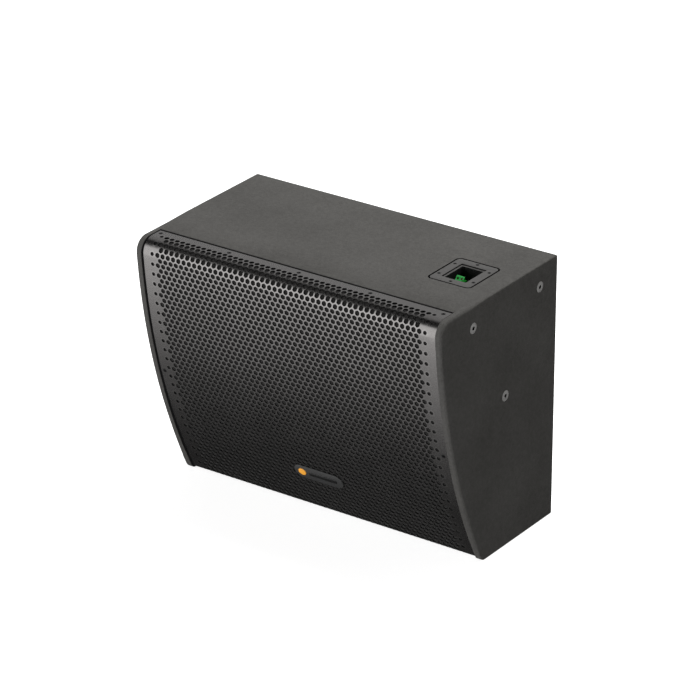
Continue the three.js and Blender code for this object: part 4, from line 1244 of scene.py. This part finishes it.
# damping wadding: a soft quilted mat on the back panel
def build_wadding():
    x0, x1, z0, z1 = -283.0, 27.0, 41.0, 439.0
    y_back, thick = YB - PLY - 0.5, 22.0
    nx, nz = 62, 80
    bm = bmesh.new()
    front, back = [], []
    for j in range(nz + 1):
        fr, bk_ = [], []
        for i in range(nx + 1):
            u, v = i / nx, j / nz
            x, z = x0 + (x1 - x0) * u, z0 + (z1 - z0) * v
            edge = min(1.0, 7.0 * min(u, 1 - u, v * 1.25, (1 - v) * 1.25))
            puff = math.sqrt(max(0.0, 1 - (1 - edge) ** 2))
            wave = 1.1 * math.sin(x * 0.061 + 1.3 * math.sin(z * 0.021)) + 0.8 * math.sin(z * 0.083 + 0.7 * math.sin(x * 0.043)) - 1.9
            fr.append(bm.verts.new(Vector((x, y_back - 2.0 - (thick - 2.0 + wave) * puff, z)) * 0.001))
            bk_.append(bm.verts.new(Vector((x, y_back, z)) * 0.001))
        front.append(fr)
        back.append(bk_)
    for a, b in zip(front, front[1:]):
        for i in range(nx):
            bm.faces.new([a[i], a[i + 1], b[i + 1], b[i]])
    for a, b in zip(back, back[1:]):
        for i in range(nx):
            bm.faces.new([a[i], b[i], b[i + 1], a[i + 1]])
    for i in range(nx):
        bm.faces.new([front[0][i], back[0][i], back[0][i + 1], front[0][i + 1]])
        bm.faces.new([front[-1][i], front[-1][i + 1], back[-1][i + 1], back[-1][i]])
    for j in range(nz):
        bm.faces.new([front[j][0], front[j + 1][0], back[j + 1][0], back[j][0]])
        bm.faces.new([front[j][-1], back[j][-1], back[j + 1][-1], front[j + 1][-1]])
    ob = finish_mesh(bm, "wadding_mat", M["wadding"], "cabinet", "damping_wadding", angle=60)


build_wadding()

# ------------------------------------------------------------------ floor, light, camera
floor_mat, nt, b = new_mat("floor")
co = coords(nt)
f = noise(nt, co, 3.0, 3.0, 0.5)
nt.links.new(ramp(nt, f, [(0.3, (0.55, 0.55, 0.55)), (0.7, (0.58, 0.58, 0.58))]), b.inputs["Base Color"])
b.inputs["Roughness"].default_value = 0.9
b.inputs["Specular IOR Level"].default_value = 0.1
b.inputs["Emission Color"].default_value = (1, 1, 1, 1)
b.inputs["Emission Strength"].default_value = 0.86
me = bpy.data.meshes.new("floor")
me.from_pydata([(-14, -14, -0.0002), (14, -14, -0.0002), (14, 14, -0.0002), (-14, 14, -0.0002)], [], [(0, 1, 2, 3)])
me.materials.append(floor_mat)
floor = bpy.data.objects.new("floor", me)
scene.collection.objects.link(floor)
floor.visible_diffuse = False
floor.visible_glossy = False
floor.visible_shadow = False

# studio surround: a wide soft panel in front, low and level, a dimmer one behind and above, dark between them
world = bpy.data.worlds.new("studio")
scene.world = world
world.use_nodes = True
wn = world.node_tree
bg = wn.nodes["Background"]
tc = n_(wn, "ShaderNodeTexCoord")
sep = n_(wn, "ShaderNodeSeparateXYZ")
wn.links.new(tc.outputs["Generated"], sep.inputs[0])


def soft(sock, lo, hi):
    m = n_(wn, "ShaderNodeMapRange", interpolation_type="SMOOTHSTEP")
    m.inputs["From Min"].default_value = min(lo, hi)
    m.inputs["From Max"].default_value = max(lo, hi)
    m.inputs["To Min"].default_value = 0.0 if lo < hi else 1.0
    m.inputs["To Max"].default_value = 1.0 if lo < hi else 0.0
    wn.links.new(sock, m.inputs["Value"])
    return m.outputs["Result"]


X_, Y_, Z_ = sep.outputs["X"], sep.outputs["Y"], sep.outputs["Z"]
tail = math_(wn, "ADD", math_(wn, "MULTIPLY", soft(Z_, -0.60, -0.44), 1.05), math_(wn, "MULTIPLY", soft(Z_, -0.83, -0.50), 0.93))
zx = math_(wn, "ADD", Z_, math_(wn, "MULTIPLY", soft(X_, -0.3, 0.0), 0.3))
front_band = math_(wn, "MULTIPLY", math_(wn, "MULTIPLY", soft(zx, 0.62, 0.49), tail), soft(Y_, -0.02, -0.40))
back_up = math_(wn, "MULTIPLY", soft(Y_, -0.08, 0.26), soft(Z_, -0.05, 0.2))
low = soft(Z_, 0.1, -0.1)
total = math_(wn, "ADD", math_(wn, "MULTIPLY", front_band, 1.0), math_(wn, "ADD", math_(wn, "MULTIPLY", back_up, 0.55), math_(wn, "ADD", math_(wn, "MULTIPLY", low, 0.02), 0.025)))
lp = n_(wn, "ShaderNodeLightPath")
bg.inputs["Color"].default_value = (1, 1, 1, 1)
mx = n_(wn, "ShaderNodeMix", data_type="FLOAT")
wn.links.new(lp.outputs["Is Camera Ray"], mx.inputs[0])
wn.links.new(total, mx.inputs[2])
mx.inputs[3].default_value = 1.0
wn.links.new(mx.outputs[0], bg.inputs["Strength"])


def area(name, loc, target, size, power, colour=(1, 1, 1)):
    l = bpy.data.lights.new(name, "AREA")
    l.shape = "RECTANGLE"
    l.size, l.size_y = size
    l.energy = power
    l.color = colour
    ob = bpy.data.objects.new(name, l)
    scene.collection.objects.link(ob)
    ob.location = loc
    ob.rotation_euler = (Vector(target) - Vector(loc)).to_track_quat("-Z", "Y").to_euler()
    return ob


top_soft = area("top_soft", (0.3, 0.9, 3.1), (0, 0, 0.3), (1.4, 1.4), 133)
top_soft.visible_glossy = False

cam_data = bpy.data.cameras.new("camera")
cam_data.lens = 201.226
cam_data.sensor_width = 36.0
cam_data.sensor_fit = "HORIZONTAL"
cam_data.clip_end = 100.0
cam = bpy.data.objects.new("camera", cam_data)
scene.collection.objects.link(cam)
right = Vector((0.81915, 0.57358, 0.0))
back = Vector((0.51984, -0.74241, 0.42262))
up = back.cross(right)
S = 0.615
cam.matrix_world = Matrix.Translation((5.5856 * S, -8.2383 * S + YB / 1000, 5.0060 * S)) @ Matrix((right, up, back)).transposed().to_4x4()
scene.camera = cam

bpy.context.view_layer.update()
